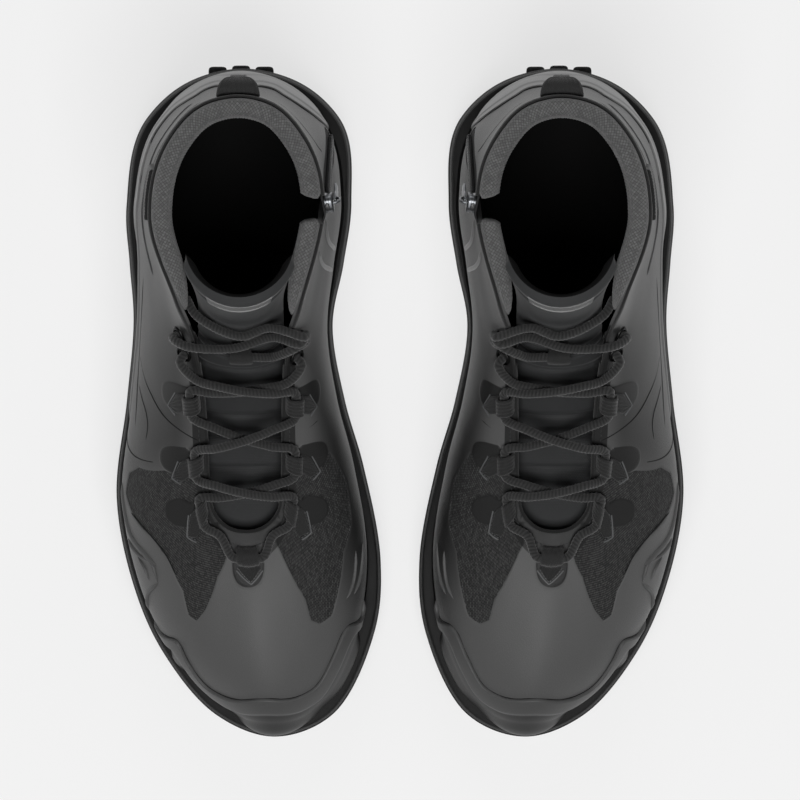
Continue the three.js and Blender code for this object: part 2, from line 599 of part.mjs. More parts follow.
function laceTube(radius) {
  const section = new THREE.Shape(steps(0, 2 * Math.PI, LACE_SIDES).slice(0, LACE_SIDES)
    .map((angle) => new THREE.Vector2(Math.cos(angle), Math.sin(angle)).multiplyScalar(radius)));
  return new THREE.ExtrudeGeometry(section, {
    extrudePath: new THREE.CatmullRomCurve3(laceRoute()), steps: LACE_STEPS, curveSegments: 1,
  });
}
const lace = () => laceTube(LACE_RADIUS);
// The upper has an opening for the lace at the eyelet and at the slot.
const LACE_OPENING = { long: LACE_DIAMETER + 3.6, wide: LACE_DIAMETER + 3.6 };
function laceHoled(geometry, side) {
  return geometryOf([EYELET, SLOT].reduce((left, { u, v }) => {
    const { middle, way, normal } = siteOn(sideU(u, side), v, 0);
    const block = new THREE.BoxGeometry(LACE_OPENING.long, LACE_OPENING.wide, 4 * UPPER_WALL);
    const across = new THREE.Vector3().crossVectors(normal, way).normalize();
    return left.subtract(solidOf(stand(block, middle, way, across, normal)));
  }, solidOf(geometry)));
}

// A webbing keeper on the tongue.
const KEEPER_S = 0.575;
function laceKeeper() {
  const up = tongueLine.getTangent(KEEPER_S);
  const normal = new THREE.Vector3(0, -up.z, up.y);
  const site = { middle: tongueAt(KEEPER_S, 0, LOOP_LIFT + 0.2), way: new THREE.Vector3(1, 0, 0), normal };
  return webbingLoop(1, site, up.clone().negate());
}

// ---- Tabs ----
// A finger loop of webbing behind the collar, seen from the side and extruded across the heel.
const TAB_THICKNESS = 1.8;
const TAB_STAND_OFF = 2.6; // the flat webbing bridges the round heel
function pullTab() {
  const top = upperAt(HEEL, 0.93, TAB_STAND_OFF + TAB_THICKNESS / 2);
  const foot = upperAt(HEEL, 0.62, TAB_STAND_OFF + TAB_THICKNESS / 2);
  const bow = new THREE.CubicBezierCurve3(
    top, top.clone().add(new THREE.Vector3(0, 10.5, 4)), foot.clone().add(new THREE.Vector3(0, 7.5, 9)),
    foot.clone().add(new THREE.Vector3(0, 0, -3)));
  const middle = [top.clone().add(new THREE.Vector3(0, 0, -9)), ...bow.getPoints(8),
    foot.clone().add(new THREE.Vector3(0, 0.3, -12))];
  const side = (offset) => middle.map((p, i) => {
    const way = (middle[i + 1] ?? p).clone().sub(middle[i - 1] ?? p).normalize();
    return new THREE.Vector2(p.y - way.z * offset, p.z + way.y * offset);
  });
  const half = TAB_THICKNESS / 2;
  const shape = new THREE.Shape([...side(half), ...side(-half).reverse()]);
  const flat = new THREE.ExtrudeGeometry(shape, { depth: PULL_TAB_WIDTH, bevelEnabled: false })
    .translate(0, 0, -PULL_TAB_WIDTH / 2);
  return stand(flat, new THREE.Vector3(rim(HEEL).x, 0, 0), new THREE.Vector3(0, 1, 0),
    new THREE.Vector3(0, 0, 1), new THREE.Vector3(1, 0, 0));
}
// A woven flag on the outer side of the collar.
const sideTab = () => panel({
  from: 7.95, to: 8.55, low: () => 0.7, high: () => 0.93, across: 4, up: 3, lift: CLEARANCE, wall: 1.4,
});

// ---- Zip ----
const ZIP_TAPE_SPARE = 4.4;
// The closed chain is straight. It stands out far enough for the slider to clear the upper.
const zipPath = steps(ZIP.topV, ZIP.lowV, 12).map((v) => upperFace(zipU(v), v));
const zipDown = zipPath.at(-1).clone().sub(zipPath[0]).normalize();
const zipOut = upperNormal(zipU(0.64), 0.64).addScaledVector(zipDown,
  -upperNormal(zipU(0.64), 0.64).dot(zipDown)).normalize();
const zipBulge = Math.max(...zipPath.map((p) => p.clone().sub(zipPath[0]).dot(zipOut)));
const zipAcross = new THREE.Vector3().crossVectors(zipDown, zipOut).normalize();
const zipTop = zipPath[0].clone().addScaledVector(zipOut, zipBulge - 0.4).addScaledVector(zipDown, 1);
const zipLength = zipPath.at(-1).distanceTo(zipPath[0]) - 2;
const alongZip = (geometry, distance) =>
  stand(geometry, zipTop.clone().addScaledVector(zipDown, distance), zipAcross, zipDown, zipOut);
function zipChain() {
  const chain = new THREE.BoxGeometry(ZIP_CHAIN_WIDTH, zipLength, ZIP_CHAIN_THICKNESS)
    .translate(0, zipLength / 2, ZIP_CHAIN_THICKNESS / 2);
  const tape = new THREE.BoxGeometry(2 * ZIP_SLOT - ZIP_TAPE_SPARE, zipLength, 0.9).translate(0, zipLength / 2, -0.35);
  return alongZip(geometryOf(solidOf(chain).add(solidOf(tape))), 0);
}
const SLIDER_WALL = 1.1;
const SLIDER_ROOM = ZIP_CHAIN_WIDTH / 2 + 0.4;
const sliderTop = ZIP_CHAIN_THICKNESS + 0.4 + SLIDER_WALL;
const BAIL = { from: 2.2, to: 8.2, width: 1.6, foot: 1.3, window: 2.1, bar: 1 };
const PULL = { length: 17, width: 5.4, eye: 2.4, wall: 1.2, bar: 1.1 };
const box = (width, length, height, x, y, z) =>
  solidOf(new THREE.BoxGeometry(width, length, height).translate(x, y + length / 2, z + height / 2));
// A box-shaped slider round the chain, with a bridge on top that holds the pull.
function zipSlider() {
  const width = 2 * (SLIDER_ROOM + SLIDER_WALL);
  const body = box(width, SLIDER_LENGTH, sliderTop - 0.6, 0, 0, 0.6);
  const room = box(2 * SLIDER_ROOM, SLIDER_LENGTH + 2, ZIP_CHAIN_THICKNESS + 0.8, 0, -1, -0.4);
  const reach = BAIL.to - BAIL.from;
  const bail = box(BAIL.width, reach, BAIL.window + BAIL.bar + 0.5, 0, BAIL.from, sliderTop - 0.5);
  const opening = box(BAIL.width + 2, reach - 2 * BAIL.foot, BAIL.window, 0, BAIL.from + BAIL.foot, sliderTop);
  return alongZip(geometryOf(body.subtract(room).add(bail.subtract(opening))), SLIDER_START);
}
const SLIDER_START = 1;
const pivotDown = BAIL.from + BAIL.foot + 0.5 + PULL.bar / 2;
const pivotLift = sliderTop + 0.45 + PULL.wall / 2;
// The pull's eye goes round the bridge. At rest the pull hangs down along the chain.
function zipPull() {
  const plate = box(PULL.width, PULL.length + PULL.bar / 2, PULL.wall, 0, -PULL.bar / 2, -PULL.wall / 2);
  const eye = box(PULL.eye, BAIL.to - pivotDown + 0.6 - PULL.bar / 2, PULL.wall + 2, 0, PULL.bar / 2,
    -PULL.wall / 2 - 1);
  return alongZip(geometryOf(plate.subtract(eye)).translate(0, pivotDown, pivotLift), SLIDER_START);
}

// ---- Assembly ----
const finish = (color, roughness, metalness = 0) =>
  new THREE.MeshStandardMaterial({ color, roughness, metalness });
const FINISHES = {
  rubber: finish(0x141414, 0.8),
  foam: finish(0x2a2a2a, 0.75),
  board: finish(0x6b6357, 0.9),
  steel: finish(0x8c8f92, 0.4, 1),
  knit: finish(0x303030, 0.95),
  film: finish(0x505050, 0.5),
  mouldedCap: finish(0x4a4a4a, 0.45),
  lining: finish(0x101010, 0.95),
  collarKnit: finish(0x4d4d4d, 0.95),
  webbing: finish(0x1c1c1c, 0.85),
  cord: finish(0x2b2b2b, 0.9),
  badge: finish(0x5a5a5a, 0.6),
  zipMetal: finish(0x3c3c3c, 0.35, 1),
};
const PIECES = [
  ['outsole', outsole, 'rubber'], ['midsole', midsole, 'foam'],
  ['shank', () => shankPlate(0, 0), 'steel'], ['insole_board', insoleBoard, 'board'],
  ['footbed', footbed, 'lining'], ['toe_cap', toeCap, 'mouldedCap'], ['vamp', vamp, 'knit'],
  ['outer_quarter', outerQuarter, 'film'], ['inner_quarter', innerQuarter, 'film'],
  ['heel_quarter', heelQuarter, 'film'], ['heel_cup', heelCup, 'mouldedCap'],
  ['collar_pad', collarPad, 'collarKnit'], ['inner_collar_pad', innerCollarPad, 'collarKnit'],
  ['tongue', tongue, 'lining'], ['tongue_label', tongueLabel, 'badge'],
  ['lace_keeper', laceKeeper, 'webbing'], ['lace', lace, 'cord'], ['toe_loop', toeLoop, 'webbing'],
  ...LOOP_U.flatMap((u, i) => [
    [`outer_loop_${i + 1}`, () => sideLoop(u, 1), 'webbing'],
    [`inner_loop_${i + 1}`, () => sideLoop(u, -1), 'webbing'],
  ]),
  ['pull_tab', pullTab, 'webbing'], ['side_tab', sideTab, 'webbing'],
  ['zip_chain', zipChain, 'webbing'], ['zip_slider', zipSlider, 'zipMetal'],
  ['zip_pull', zipPull, 'zipMetal'],
];

const pair = new THREE.Group();
const left = new THREE.Group();
const right = new THREE.Group();
right.scale.x = -1;
pair.add(left, right);
for (const [name, make, material] of PIECES) {
  const geometry = make();
  for (const [side, group] of [['left', left], ['right', right]]) {
    const mesh = new THREE.Mesh(geometry, FINISHES[material]);
    mesh.name = `${side}_${name}`;
    group.add(mesh);
  }
}

export default pair;
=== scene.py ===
import json
import math

import bpy
import numpy as np
from mathutils.kdtree import KDTree
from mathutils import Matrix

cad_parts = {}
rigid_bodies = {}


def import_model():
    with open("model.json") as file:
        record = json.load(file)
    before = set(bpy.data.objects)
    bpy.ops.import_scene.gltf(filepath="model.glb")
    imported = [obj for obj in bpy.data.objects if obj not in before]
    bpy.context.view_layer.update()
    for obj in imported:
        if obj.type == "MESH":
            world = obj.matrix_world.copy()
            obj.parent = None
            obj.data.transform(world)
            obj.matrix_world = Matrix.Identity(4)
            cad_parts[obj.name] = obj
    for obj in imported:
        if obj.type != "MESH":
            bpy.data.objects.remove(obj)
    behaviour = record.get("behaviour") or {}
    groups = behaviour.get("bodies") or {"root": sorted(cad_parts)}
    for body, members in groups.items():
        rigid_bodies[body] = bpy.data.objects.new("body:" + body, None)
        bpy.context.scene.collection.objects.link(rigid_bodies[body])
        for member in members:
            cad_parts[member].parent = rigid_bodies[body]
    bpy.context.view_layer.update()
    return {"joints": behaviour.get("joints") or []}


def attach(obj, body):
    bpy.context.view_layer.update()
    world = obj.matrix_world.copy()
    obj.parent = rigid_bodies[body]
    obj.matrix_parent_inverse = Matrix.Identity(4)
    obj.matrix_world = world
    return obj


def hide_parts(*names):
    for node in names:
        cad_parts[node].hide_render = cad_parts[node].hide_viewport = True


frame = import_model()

# ---- Camera, floor and light ----
# The pair is looked at from straight above through a long lens. The strongest soft box hangs high in
# front of the toes, a weaker one stands behind the heels and two low ones beside the pair, so the
# outer sides are bright and the sides between the boots stay dark.


def linear(code):
    """A colour given as sRGB hex, turned to linear light."""
    parts = [int(code[i:i + 2], 16) / 255 for i in (1, 3, 5)]
    return [c / 12.92 if c <= 0.04045 else ((c + 0.055) / 1.055) ** 2.4 for c in parts] + [1]


def add(material, kind, inputs=(), **settings):
    """Adds one shader node: settings are its properties, inputs are values or sockets to link."""
    made = material.node_tree.nodes.new("ShaderNode" + kind)
    for name, value in settings.items():
        setattr(made, name, value)
    for name, value in dict(inputs).items():
        if isinstance(value, bpy.types.NodeSocket):
            material.node_tree.links.new(value, made.inputs[name])
        else:
            made.inputs[name].default_value = value
    return made


def surface(name, base, roughness, **sockets):
    """A new material with a Principled shader: its base colour, roughness and other sockets."""
    material = bpy.data.materials.new(name)
    material.use_nodes = True
    shader = material.node_tree.nodes["Principled BSDF"]
    shader.inputs["Base Color"].default_value = linear(base)
    shader.inputs["Roughness"].default_value = roughness
    for key, value in sockets.items():
        shader.inputs[key.replace("_", " ")].default_value = value
    return material


def shader_of(material):
    return material.node_tree.nodes["Principled BSDF"]


def link(material, output, socket):
    material.node_tree.links.new(output, shader_of(material).inputs[socket])


VIEW_HEIGHT = 10.0
VIEW_WIDTH = 0.3615
VIEW_LEVEL = 0.05  # the height at which the view is that wide
camera = bpy.data.objects.new("camera", bpy.data.cameras.new("camera"))
camera.location = (0, 0, VIEW_HEIGHT)
camera.data.sensor_width = 36
camera.data.lens = 36 * (VIEW_HEIGHT - VIEW_LEVEL) / VIEW_WIDTH
camera.data.clip_end = 50
scene = bpy.context.scene
scene.collection.objects.link(camera)
scene.camera = camera
scene.view_settings.view_transform = "Standard"

floor_mesh = bpy.data.meshes.new("floor")
reach = 4.0
floor_mesh.from_pydata([(-reach, -reach, 0), (reach, -reach, 0), (reach, reach, 0), (-reach, reach, 0)],
                       [], [(0, 1, 2, 3)])
floor = bpy.data.objects.new("floor", floor_mesh)
scene.collection.objects.link(floor)
paper = surface("seamless_paper", "#8c8c8c", 0.9)
shader_of(paper).inputs["Emission Color"].default_value = linear("#f0f0f0")
shader_of(paper).inputs["Emission Strength"].default_value = 0.78
floor.data.materials.append(paper)

world = bpy.data.worlds.new("studio")
world.use_nodes = True
world.node_tree.nodes["Background"].inputs["Color"].default_value = linear("#ffffff")
world.node_tree.nodes["Background"].inputs["Strength"].default_value = 0.06
scene.world = world
# Each box: its name, place, tilt in degrees, width and length, and power in watts.
SOFT_BOXES = [
    ("soft_box_left", (-1.5, 0.1, 0.35), (0, 77), (0.6, 1.8), 2.0),
    ("soft_box_right", (1.5, 0.1, 0.35), (0, -77), (0.6, 1.8), 2.0),
    ("soft_box_above", (0, -0.55, 1.7), (-14, 0), (0.9, 0.7), 20),
    ("soft_box_behind", (0, 1.7, 1.2), (55, 0), (1.6, 0.8), 9),
]
for name, place, (tilt_x, tilt_y), (across, along), power in SOFT_BOXES:
    light = bpy.data.lights.new(name, "AREA")
    light.shape = "RECTANGLE"
    light.size = across
    light.size_y = along
    light.energy = power
    lamp = bpy.data.objects.new(name, light)
    lamp.location = place
    lamp.rotation_euler = (math.radians(-tilt_x), math.radians(-tilt_y), 0)
    scene.collection.objects.link(lamp)

# ---- Upper ----
# One continuous skin: dark ripstop mesh at the forefoot, and a smooth polyurethane film welded over
# the rest. It is lasted over a foot form, whose columns run round the boot: 0 is the toe, 1 to 9 the
# outer side, 10 the heel, -1 to -9 the inner side. A column climbs from the sole to the opening.
LAST = [
    [[56.5, -152.5, 0], [56.5, -147, 31], [56.5, -152, 60], [64, -118, 66], [69.5, -60, 79]],
    [[83.5, -142.5, 0], [80.5, -134, 28], [88, -141, 55], [80, -106, 66], [78, -58, 79]],
    [[107, -115, 0], [102.5, -109, 26], [111, -116, 52], [95, -84, 70], [84.5, -51, 80.5]],
    [[120.5, -85, 0], [115.5, -82, 25], [125, -85, 50], [105, -56, 78], [86.8, -38, 85.5]],
    [[128.5, -44, 0], [123, -45, 25], [132, -46, 50], [111, -29, 89], [87.5, -20, 94.5]],
    [[123.8, 0, 0], [118.5, 0, 27], [127, 0, 58], [109, 5, 103], [89.5, 5, 109]],
    [[120.8, 36, 0], [115.5, 38, 29], [122, 38, 65], [111, 32, 113], [93.5, 27, 127]],
    [[122.6, 62, 0], [116.5, 64, 31], [121, 64, 70], [108, 53, 118], [101, 45, 146]],
    [[124, 88, 0], [117, 90, 33], [121.5, 92, 70], [110, 86, 112], [112.5, 82, 147]],
    [[115.5, 126, 0], [108, 121, 35], [112, 127, 70], [101, 118, 112], [104, 116, 149]],
    [[71.5, 150, 0], [72.3, 144, 36], [72.3, 151.5, 66], [72.5, 136, 112], [72.5, 136, 151]],
    [[27, 126.5, 0], [35, 122, 35], [32.5, 128, 70], [43, 119, 112], [42.5, 117, 149]],
    [[22, 90, 0], [28, 91, 34], [24, 92, 72], [35.5, 90, 112], [34, 88, 147]],
    [[25.5, 62, 0], [31.5, 61, 33], [27.5, 60, 72], [38, 52, 118], [44, 43, 146]],
    [[30.5, 34, 0], [35.5, 31, 32], [29.5, 32, 68], [36, 29, 112], [49.5, 26, 127]],
    [[25, 0, 0], [31, 0, 31], [24.5, 0, 62], [34, 3, 102], [51.5, 4, 108]],
    [[16.5, -30, 0], [23, -32, 28], [15, -33, 56], [31, -25, 90], [52, -20, 94.5]],
    [[8.8, -72, 0], [17, -72, 26], [9.5, -73, 52], [31, -52, 79], [52.5, -38, 85.5]],
    [[11.5, -105, 0], [21.5, -105, 26.5], [14, -110, 53], [38, -83, 71], [54.5, -51, 80.5]],
    [[30, -142, 0], [35.5, -134, 29], [28.5, -140, 56], [50, -106, 67], [61, -58, 79]],
]
COLUMNS = len(LAST)
HEEL = COLUMNS // 2
RAILS = np.array(LAST, float).transpose(1, 0, 2)
# The heel is rounder than its columns: each rail stands out by these mm on both sides of column 10.
HEEL_FULLNESS = [1.8, 1.6, 1.8, 1.6, 2.1]
FULLEST, FADING = 0.55, 0.36  # columns from the heel: where it is fullest, and over which it fades
FULL_SIDE, FULL_BACK = 0.54, 0.84  # direction in which it stands out: sideways, and backwards


def hermite(p0, p1, p2, p3, share):
    """A point of the centripetal spline stretch from p1 to p2."""
    d0, d1, d2 = (np.sqrt(np.maximum(np.linalg.norm(b - a, axis=-1, keepdims=True), 1e-9))
                  for a, b in ((p0, p1), (p1, p2), (p2, p3)))
    t1 = ((p1 - p0) / d0 - (p2 - p0) / (d0 + d1) + (p2 - p1) / d1) * d1
    t2 = ((p2 - p1) / d1 - (p3 - p1) / (d1 + d2) + (p3 - p2) / d2) * d1
    return (p1 + t1 * share + (3 * (p2 - p1) - 2 * t1 - t2) * share ** 2
            + (2 * (p1 - p2) + t1 + t2) * share ** 3)


def rail(index, u):
    """A closed smooth curve through one point of every column, at column number u."""
    u = np.asarray(u, float)
    first = np.floor(u).astype(int)
    four = [RAILS[index][(first + k) % COLUMNS] for k in (-1, 0, 1, 2)]
    points = hermite(*four, (u - first)[..., None])
    from_heel = np.mod(u, COLUMNS) - HEEL
    full = HEEL_FULLNESS[index] * np.exp(-((np.abs(from_heel) - FULLEST) / FADING) ** 2)
    points[..., 0] -= np.clip(from_heel / 0.3, -1, 1) * FULL_SIDE * full
    points[..., 1] += FULL_BACK * full
    return points


def curve(points, share):
    """An open smooth curve through points, at a share of its length by point number."""
    points = np.asarray(points, float)
    points = np.vstack([2 * points[0] - points[1], points, 2 * points[-1] - points[-2]])
    last = len(points) - 3
    at = np.clip(np.asarray(share, float) * last, 0, last - 1e-9)
    first = np.floor(at).astype(int)
    four = [points[first + k] for k in (0, 1, 2, 3)]
    return hermite(*four, (at - first)[..., None])


def face(u, v):
    """A point of the upper's face: u is the column, v climbs from 0 at the sole to 1 at the rim."""
    u, v = np.broadcast_arrays(np.asarray(u, float), np.asarray(v, float))
    v = v[..., None]
    w = 1 - v
    return (rail(1, u) * w ** 3 + rail(2, u) * 3 * w ** 2 * v
            + rail(3, u) * 3 * w * v ** 2 + rail(4, u) * v ** 3)


def unit(vectors):
    return vectors / np.maximum(np.linalg.norm(vectors, axis=-1, keepdims=True), 1e-12)


def facing(u, v):
    """Outward direction of the upper's face."""
    around = face(np.add(u, 0.01), v) - face(np.subtract(u, 0.01), v)
    up = face(u, np.minimum(np.add(v, 0.01), 1)) - face(u, np.maximum(np.subtract(v, 0.01), 0))
    return unit(np.cross(around, up))


def on_upper(u, v, lift):
    return face(u, v) + facing(u, v) * np.asarray(lift, float)[..., None]


def even(start, stop, count, height=0.5):
    """Column numbers, the same distance apart when measured at one height of the boot."""
    samples = np.linspace(start, stop, 600)
    length = np.r_[0, np.cumsum(np.linalg.norm(np.diff(face(samples, height), axis=0), axis=1))]
    return np.interp(np.linspace(0, length[-1], count), length, samples), np.linspace(0, length[-1], count)


def ramp(value, start, stop):
    """0 before start, 1 after stop, and a smooth rise between them."""
    share = np.clip((np.asarray(value, float) - start) / (stop - start), 0, 1)
    return share * share * (3 - 2 * share)


def grid_faces(rows, columns, first=0, closed=False):
    """Four-sided faces of a grid of points. A closed grid joins its last column to its first."""
    i = np.arange(rows - 1)[:, None]
    j = np.arange(columns if closed else columns - 1)[None, :]
    k = (j + 1) % columns
    corners = [i * columns + j, (i + 1) * columns + j, (i + 1) * columns + k, i * columns + k]
    return first + np.stack(np.broadcast_arrays(*corners), -1).reshape(-1, 4)


def plate(front, back):
    """A closed solid between two matching grids of points."""
    rows, columns = front.shape[:2]
    count = rows * columns
    index = np.arange(count).reshape(rows, columns)
    edge = np.r_[index[:-1, 0], index[-1, :-1], index[:0:-1, -1], index[0, :0:-1]]
    after = np.roll(edge, -1)
    rim = np.stack([edge, edge + count, after + count, after], -1)
    faces = np.vstack([grid_faces(rows, columns), grid_faces(rows, columns, count)[:, ::-1], rim])
    return np.vstack([front.reshape(-1, 3), back.reshape(-1, 3)]), faces


def together(parts):
    """Several (points, faces) meshes as one."""
    points, faces, count = [], [], 0
    for part_points, part_faces in parts:
        points.append(part_points)
        faces.append(np.asarray(part_faces) + count)
        count += len(part_points)
    return np.vstack(points), np.vstack(faces)


def volume(points, faces):
    a, b, c, d = (points[faces[:, k]] for k in range(4))
    return (np.cross(a, b) * c).sum() + (np.cross(a, c) * d).sum()


MIRROR = np.array([-1.0, 1.0, 1.0])
SIDES = (("left", 1), ("right", -1))


def boots(name, mesh_data, materials, body="boot", stands_for=(), weave=None, masks=None,
          inner=None, crease=40):
    """Makes a piece for the left boot and its mirror image for the right one, in metres."""
    points, faces = mesh_data
    points, faces = np.asarray(points, float), np.asarray(faces)
    if volume(points, faces) < 0:
        faces = faces[:, ::-1]
    made = []
    for side, sign in SIDES:
        mesh = bpy.data.meshes.new(f"{side}_{name}")
        placed = points * (MIRROR if sign < 0 else 1) / 1000
        turned = faces[:, ::-1] if sign < 0 else faces
        cleaned = [list(dict.fromkeys(corners)) for corners in turned.tolist()]
        mesh.from_pydata(placed.tolist(), [], [corners for corners in cleaned if len(corners) > 2])
        mesh.shade_smooth()
        mesh.set_sharp_from_angle(angle=math.radians(crease))
        if weave is not None:
            flat = np.zeros((len(points), 3))
            flat[:, :2] = weave
            mesh.attributes.new("weave", "FLOAT_VECTOR", "POINT").data.foreach_set("vector", flat.ravel())
        for key, values in (masks or {}).items():
            mesh.attributes.new(key, "FLOAT", "POINT").data.foreach_set("value", np.ravel(values))
        for material in materials:
            mesh.materials.append(material)
        if inner is not None:
            mesh.polygons.foreach_set("material_index", inner.astype(np.int32))
        piece = bpy.data.objects.new(f"{side}_{name}", mesh)
        scene.collection.objects.link(piece)
        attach(piece, f"{side}_{body}")
        if stands_for:
            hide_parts(*[f"{side}_{node}" for node in stands_for])
        made.append(piece)
    return made


# The zip runs up the inner ankle. The skin has a slot for it that closes at the zip's foot.
ZIP_TOP, ZIP_FOOT = (12.05 - COLUMNS, 1.0), (11.2 - COLUMNS, 0.28)
ZIP_SLOT = 6.4


def zip_column(v):
    return ZIP_TOP[0] + (ZIP_FOOT[0] - ZIP_TOP[0]) * (ZIP_TOP[1] - v) / (ZIP_TOP[1] - ZIP_FOOT[1])


def column_width(u, v):
    return np.linalg.norm(face(np.add(u, 0.5), v) - face(np.subtract(u, 0.5), v), axis=-1)


def zip_edge(v, side, slot=ZIP_SLOT):
    half = slot * ramp(v, ZIP_FOOT[1] - 0.07, ZIP_FOOT[1] + 0.02)
    return zip_column(v) + side * half / column_width(zip_column(v), v)


search_u, search_v = np.meshgrid(np.linspace(-7.9, 12, 1500), np.linspace(0.01, 1, 180), indexing="ij")
search_points = face(search_u, search_v)
search_up = facing(search_u, search_v)[..., 2]


def below(plan):
    """Column and height of the places on the upper that lie under points [x, y] of the plan."""
    found = []
    for x, y in plan:
        gap = np.hypot(search_points[..., 0] - x, search_points[..., 1] - y)
        best = np.argmin(gap + np.where(search_up > 0.03, 0, 40) - search_points[..., 2] * 0.002)
        found.append((search_u.flat[best], search_v.flat[best]))
    return np.array(found)


def trail(places, step=1.0):
    """A smooth line over the upper through places [column, height], with points step mm apart."""
    share = np.linspace(0, 1, 400)
    line = curve(places, share)
    length = np.r_[0, np.cumsum(np.linalg.norm(np.diff(face(*line.T), axis=0), axis=1))]
    steps = np.linspace(0, length[-1], max(3, int(length[-1] / step)))
    return np.stack([np.interp(steps, length, line[:, k]) for k in (0, 1)], -1)


def inside(u, v, outline):
    """Whether places lie inside a closed outline of [column, height] points."""
    within = np.zeros(u.shape, bool)
    for (u0, v0), (u1, v1) in zip(outline, np.roll(outline, -1, axis=0)):
        crosses = (v0 > v) != (v1 > v)
        with np.errstate(divide="ignore", invalid="ignore"):
            within ^= crosses & (u < (u1 - u0) * (v - v0) / (v1 - v0) + u0)
    return within


def depth_inside(u, v, points, outline):
    """Distance of each point from an outline on the upper, in mm, negative outside it."""
    closed = np.vstack([outline, outline[:1]])
    line = np.vstack([np.linspace(a, b, 40) for a, b in zip(closed[:-1], closed[1:])])
    on_line = face(*line.T)
    tree = KDTree(len(on_line))
    for number, point in enumerate(on_line):
        tree.insert(point, number)
    tree.balance()
    gap = np.array([tree.find(point)[2] for point in points.reshape(-1, 3)]).reshape(u.shape)
    return np.where(inside(u, v, outline), gap, -gap)


skin_rows = 130
skin_columns = 760
skin_v = np.linspace(0.004, 1, skin_rows)
centre_u, skin_along = even(zip_edge(0.5, 1), zip_edge(0.5, -1) + COLUMNS, skin_columns)
share = (centre_u - centre_u[0]) / (centre_u[-1] - centre_u[0])
start_u, stop_u = zip_edge(skin_v, 1), zip_edge(skin_v, -1) + COLUMNS
skin_u = start_u[None, :] + share[:, None] * (stop_u - start_u)[None, :]
skin_vv = np.broadcast_to(skin_v, skin_u.shape)
skin_points = face(skin_u, skin_vv)
skin_normals = facing(skin_u, skin_vv)

# Outlines of the ripstop mesh, as plan positions in mm on the left boot: one beside the throat on
# the outer side and one on the inner side.
OUTER_MESH = [(87.9, -34), (105.9, -31.6), (117.3, -30.5), (121.5, -33), (123.2, -42), (119.5, -53.3),
              (111.4, -61.9), (104.2, -71.9), (97.8, -85.9), (95.1, -97.2), (91.5, -99.4), (87.4, -94),
              (82, -79.5), (76.6, -65.1), (78.5, -61), (84.5, -53)]
INNER_MESH = [(52.2, -36), (43, -27), (32, -24), (24.5, -36), (22, -54), (25.5, -68.2), (27.5, -83.6),
              (31, -97.2), (36.4, -100.8), (40.4, -99), (42.7, -89.9), (55.4, -64.2), (56, -60)]
mesh_depth = np.full(skin_u.shape, -99.0)
for outline in (below(OUTER_MESH), below(INNER_MESH)):
    mesh_depth = np.maximum(mesh_depth, depth_inside(skin_u, skin_vv, skin_points, outline))
ripstop = ramp(mesh_depth, -0.6, 0.6)

# Columns of the webbing loops beside the throat, and their height. A patch of thicker film, its colour
# darkened as painted shadow, surrounds each of them and the toe loop: how far below the loop its middle
# lies, half its length and half its width, in mm.
LOOP_U = [2.5, 3.7, 4.8]
LOOP_V = 0.94
TOE_PATCH, SIDE_PATCH = (4.0, 10.5, 7.0), (6.0, 12.0, 7.2)
SQUARENESS = 2.4  # 2 would make the patch an ellipse


def patch_depth(u, down, long, wide):
    """Distance of the skin's points from the edge of a rounded patch, in mm, negative outside it."""
    middle = face(u, LOOP_V)
    across = unit(face(u + 0.02, LOOP_V) - face(u - 0.02, LOOP_V))
    descent = unit(face(u, LOOP_V - 0.02) - middle)
    away = skin_points - middle
    aside = away @ across
    reach = np.linalg.norm(away - aside[..., None] * across, axis=-1) * np.sign(away @ descent)
    share = np.abs(aside / wide) ** SQUARENESS + np.abs((reach - down) / long) ** SQUARENESS
    return (1 - share ** (1 / SQUARENESS)) * wide


patch = patch_depth(0.0, *TOE_PATCH)
for column in LOOP_U:
    for u in (column, -column):
        patch = np.maximum(patch, patch_depth(u, *SIDE_PATCH))
patched = ramp(patch, -0.35, 0.35)
FILM = 0.55  # thickness of the welded film
INNER_WALL = 2.4  # how far the lining lies behind the upper's face
FOLD_SIZE = 9.0
WAVES = 9
rng = np.random.default_rng(7)
wave_ways = rng.normal(size=(WAVES, 3)) / FOLD_SIZE
wave_turns = rng.uniform(0, 2 * np.pi, WAVES)


def unevenness(points):
    """A soft irregular wave over a surface, between about -1 and 1."""
    return sum(np.sin(points @ way + turn) for way, turn in zip(wave_ways, wave_turns)) / 4


FLEX_Y = -62  # where the forefoot bends and creases
flex = np.exp(-((skin_points[..., 1] - FLEX_Y) / 16) ** 2) * ramp(skin_vv, 0.25, 0.6)
creases = 0.12 * unevenness(skin_points) + 0.25 * flex * unevenness(skin_points * 1.7)
skin_lift = FILM * (1 - ripstop * (1 - patched)) + 0.3 * patched + creases
outer_skin = skin_points + skin_normals * skin_lift[..., None]
inner_skin = skin_points - skin_normals * INNER_WALL
skin_mesh = plate(outer_skin, inner_skin)
# Painted shade: the film's colour is darkened on the wall between the boots and on the outer wall behind
# the ball of the foot, and painted shadow darkens it along the edge of the throat.
from_toe = np.where(skin_u > HEEL, skin_u - COLUMNS, skin_u)
inner_wall_painted_shade = ramp(-from_toe, 1.6, 3.2) * ramp(-from_toe, 9.4, 8.2) * ramp(skin_vv, 0.86, 0.5)
outer_wall_painted_shade = 0.75 * ramp(from_toe, 3.6, 4.4) * ramp(from_toe, 9.2, 8.0) * ramp(skin_vv, 0.97, 0.8)
throat_painted_shade = ramp(skin_vv, 0.91, 0.935) * ramp(np.abs(from_toe), 6.6, 6.0)
climb = np.linalg.norm(np.diff(skin_points, axis=1), axis=-1)
skin_up = np.concatenate([np.zeros((len(share), 1)), np.cumsum(climb, axis=1)], axis=1)
skin_weave = np.stack([np.broadcast_to(skin_along[:, None], skin_up.shape), skin_up], -1).reshape(-1, 2)

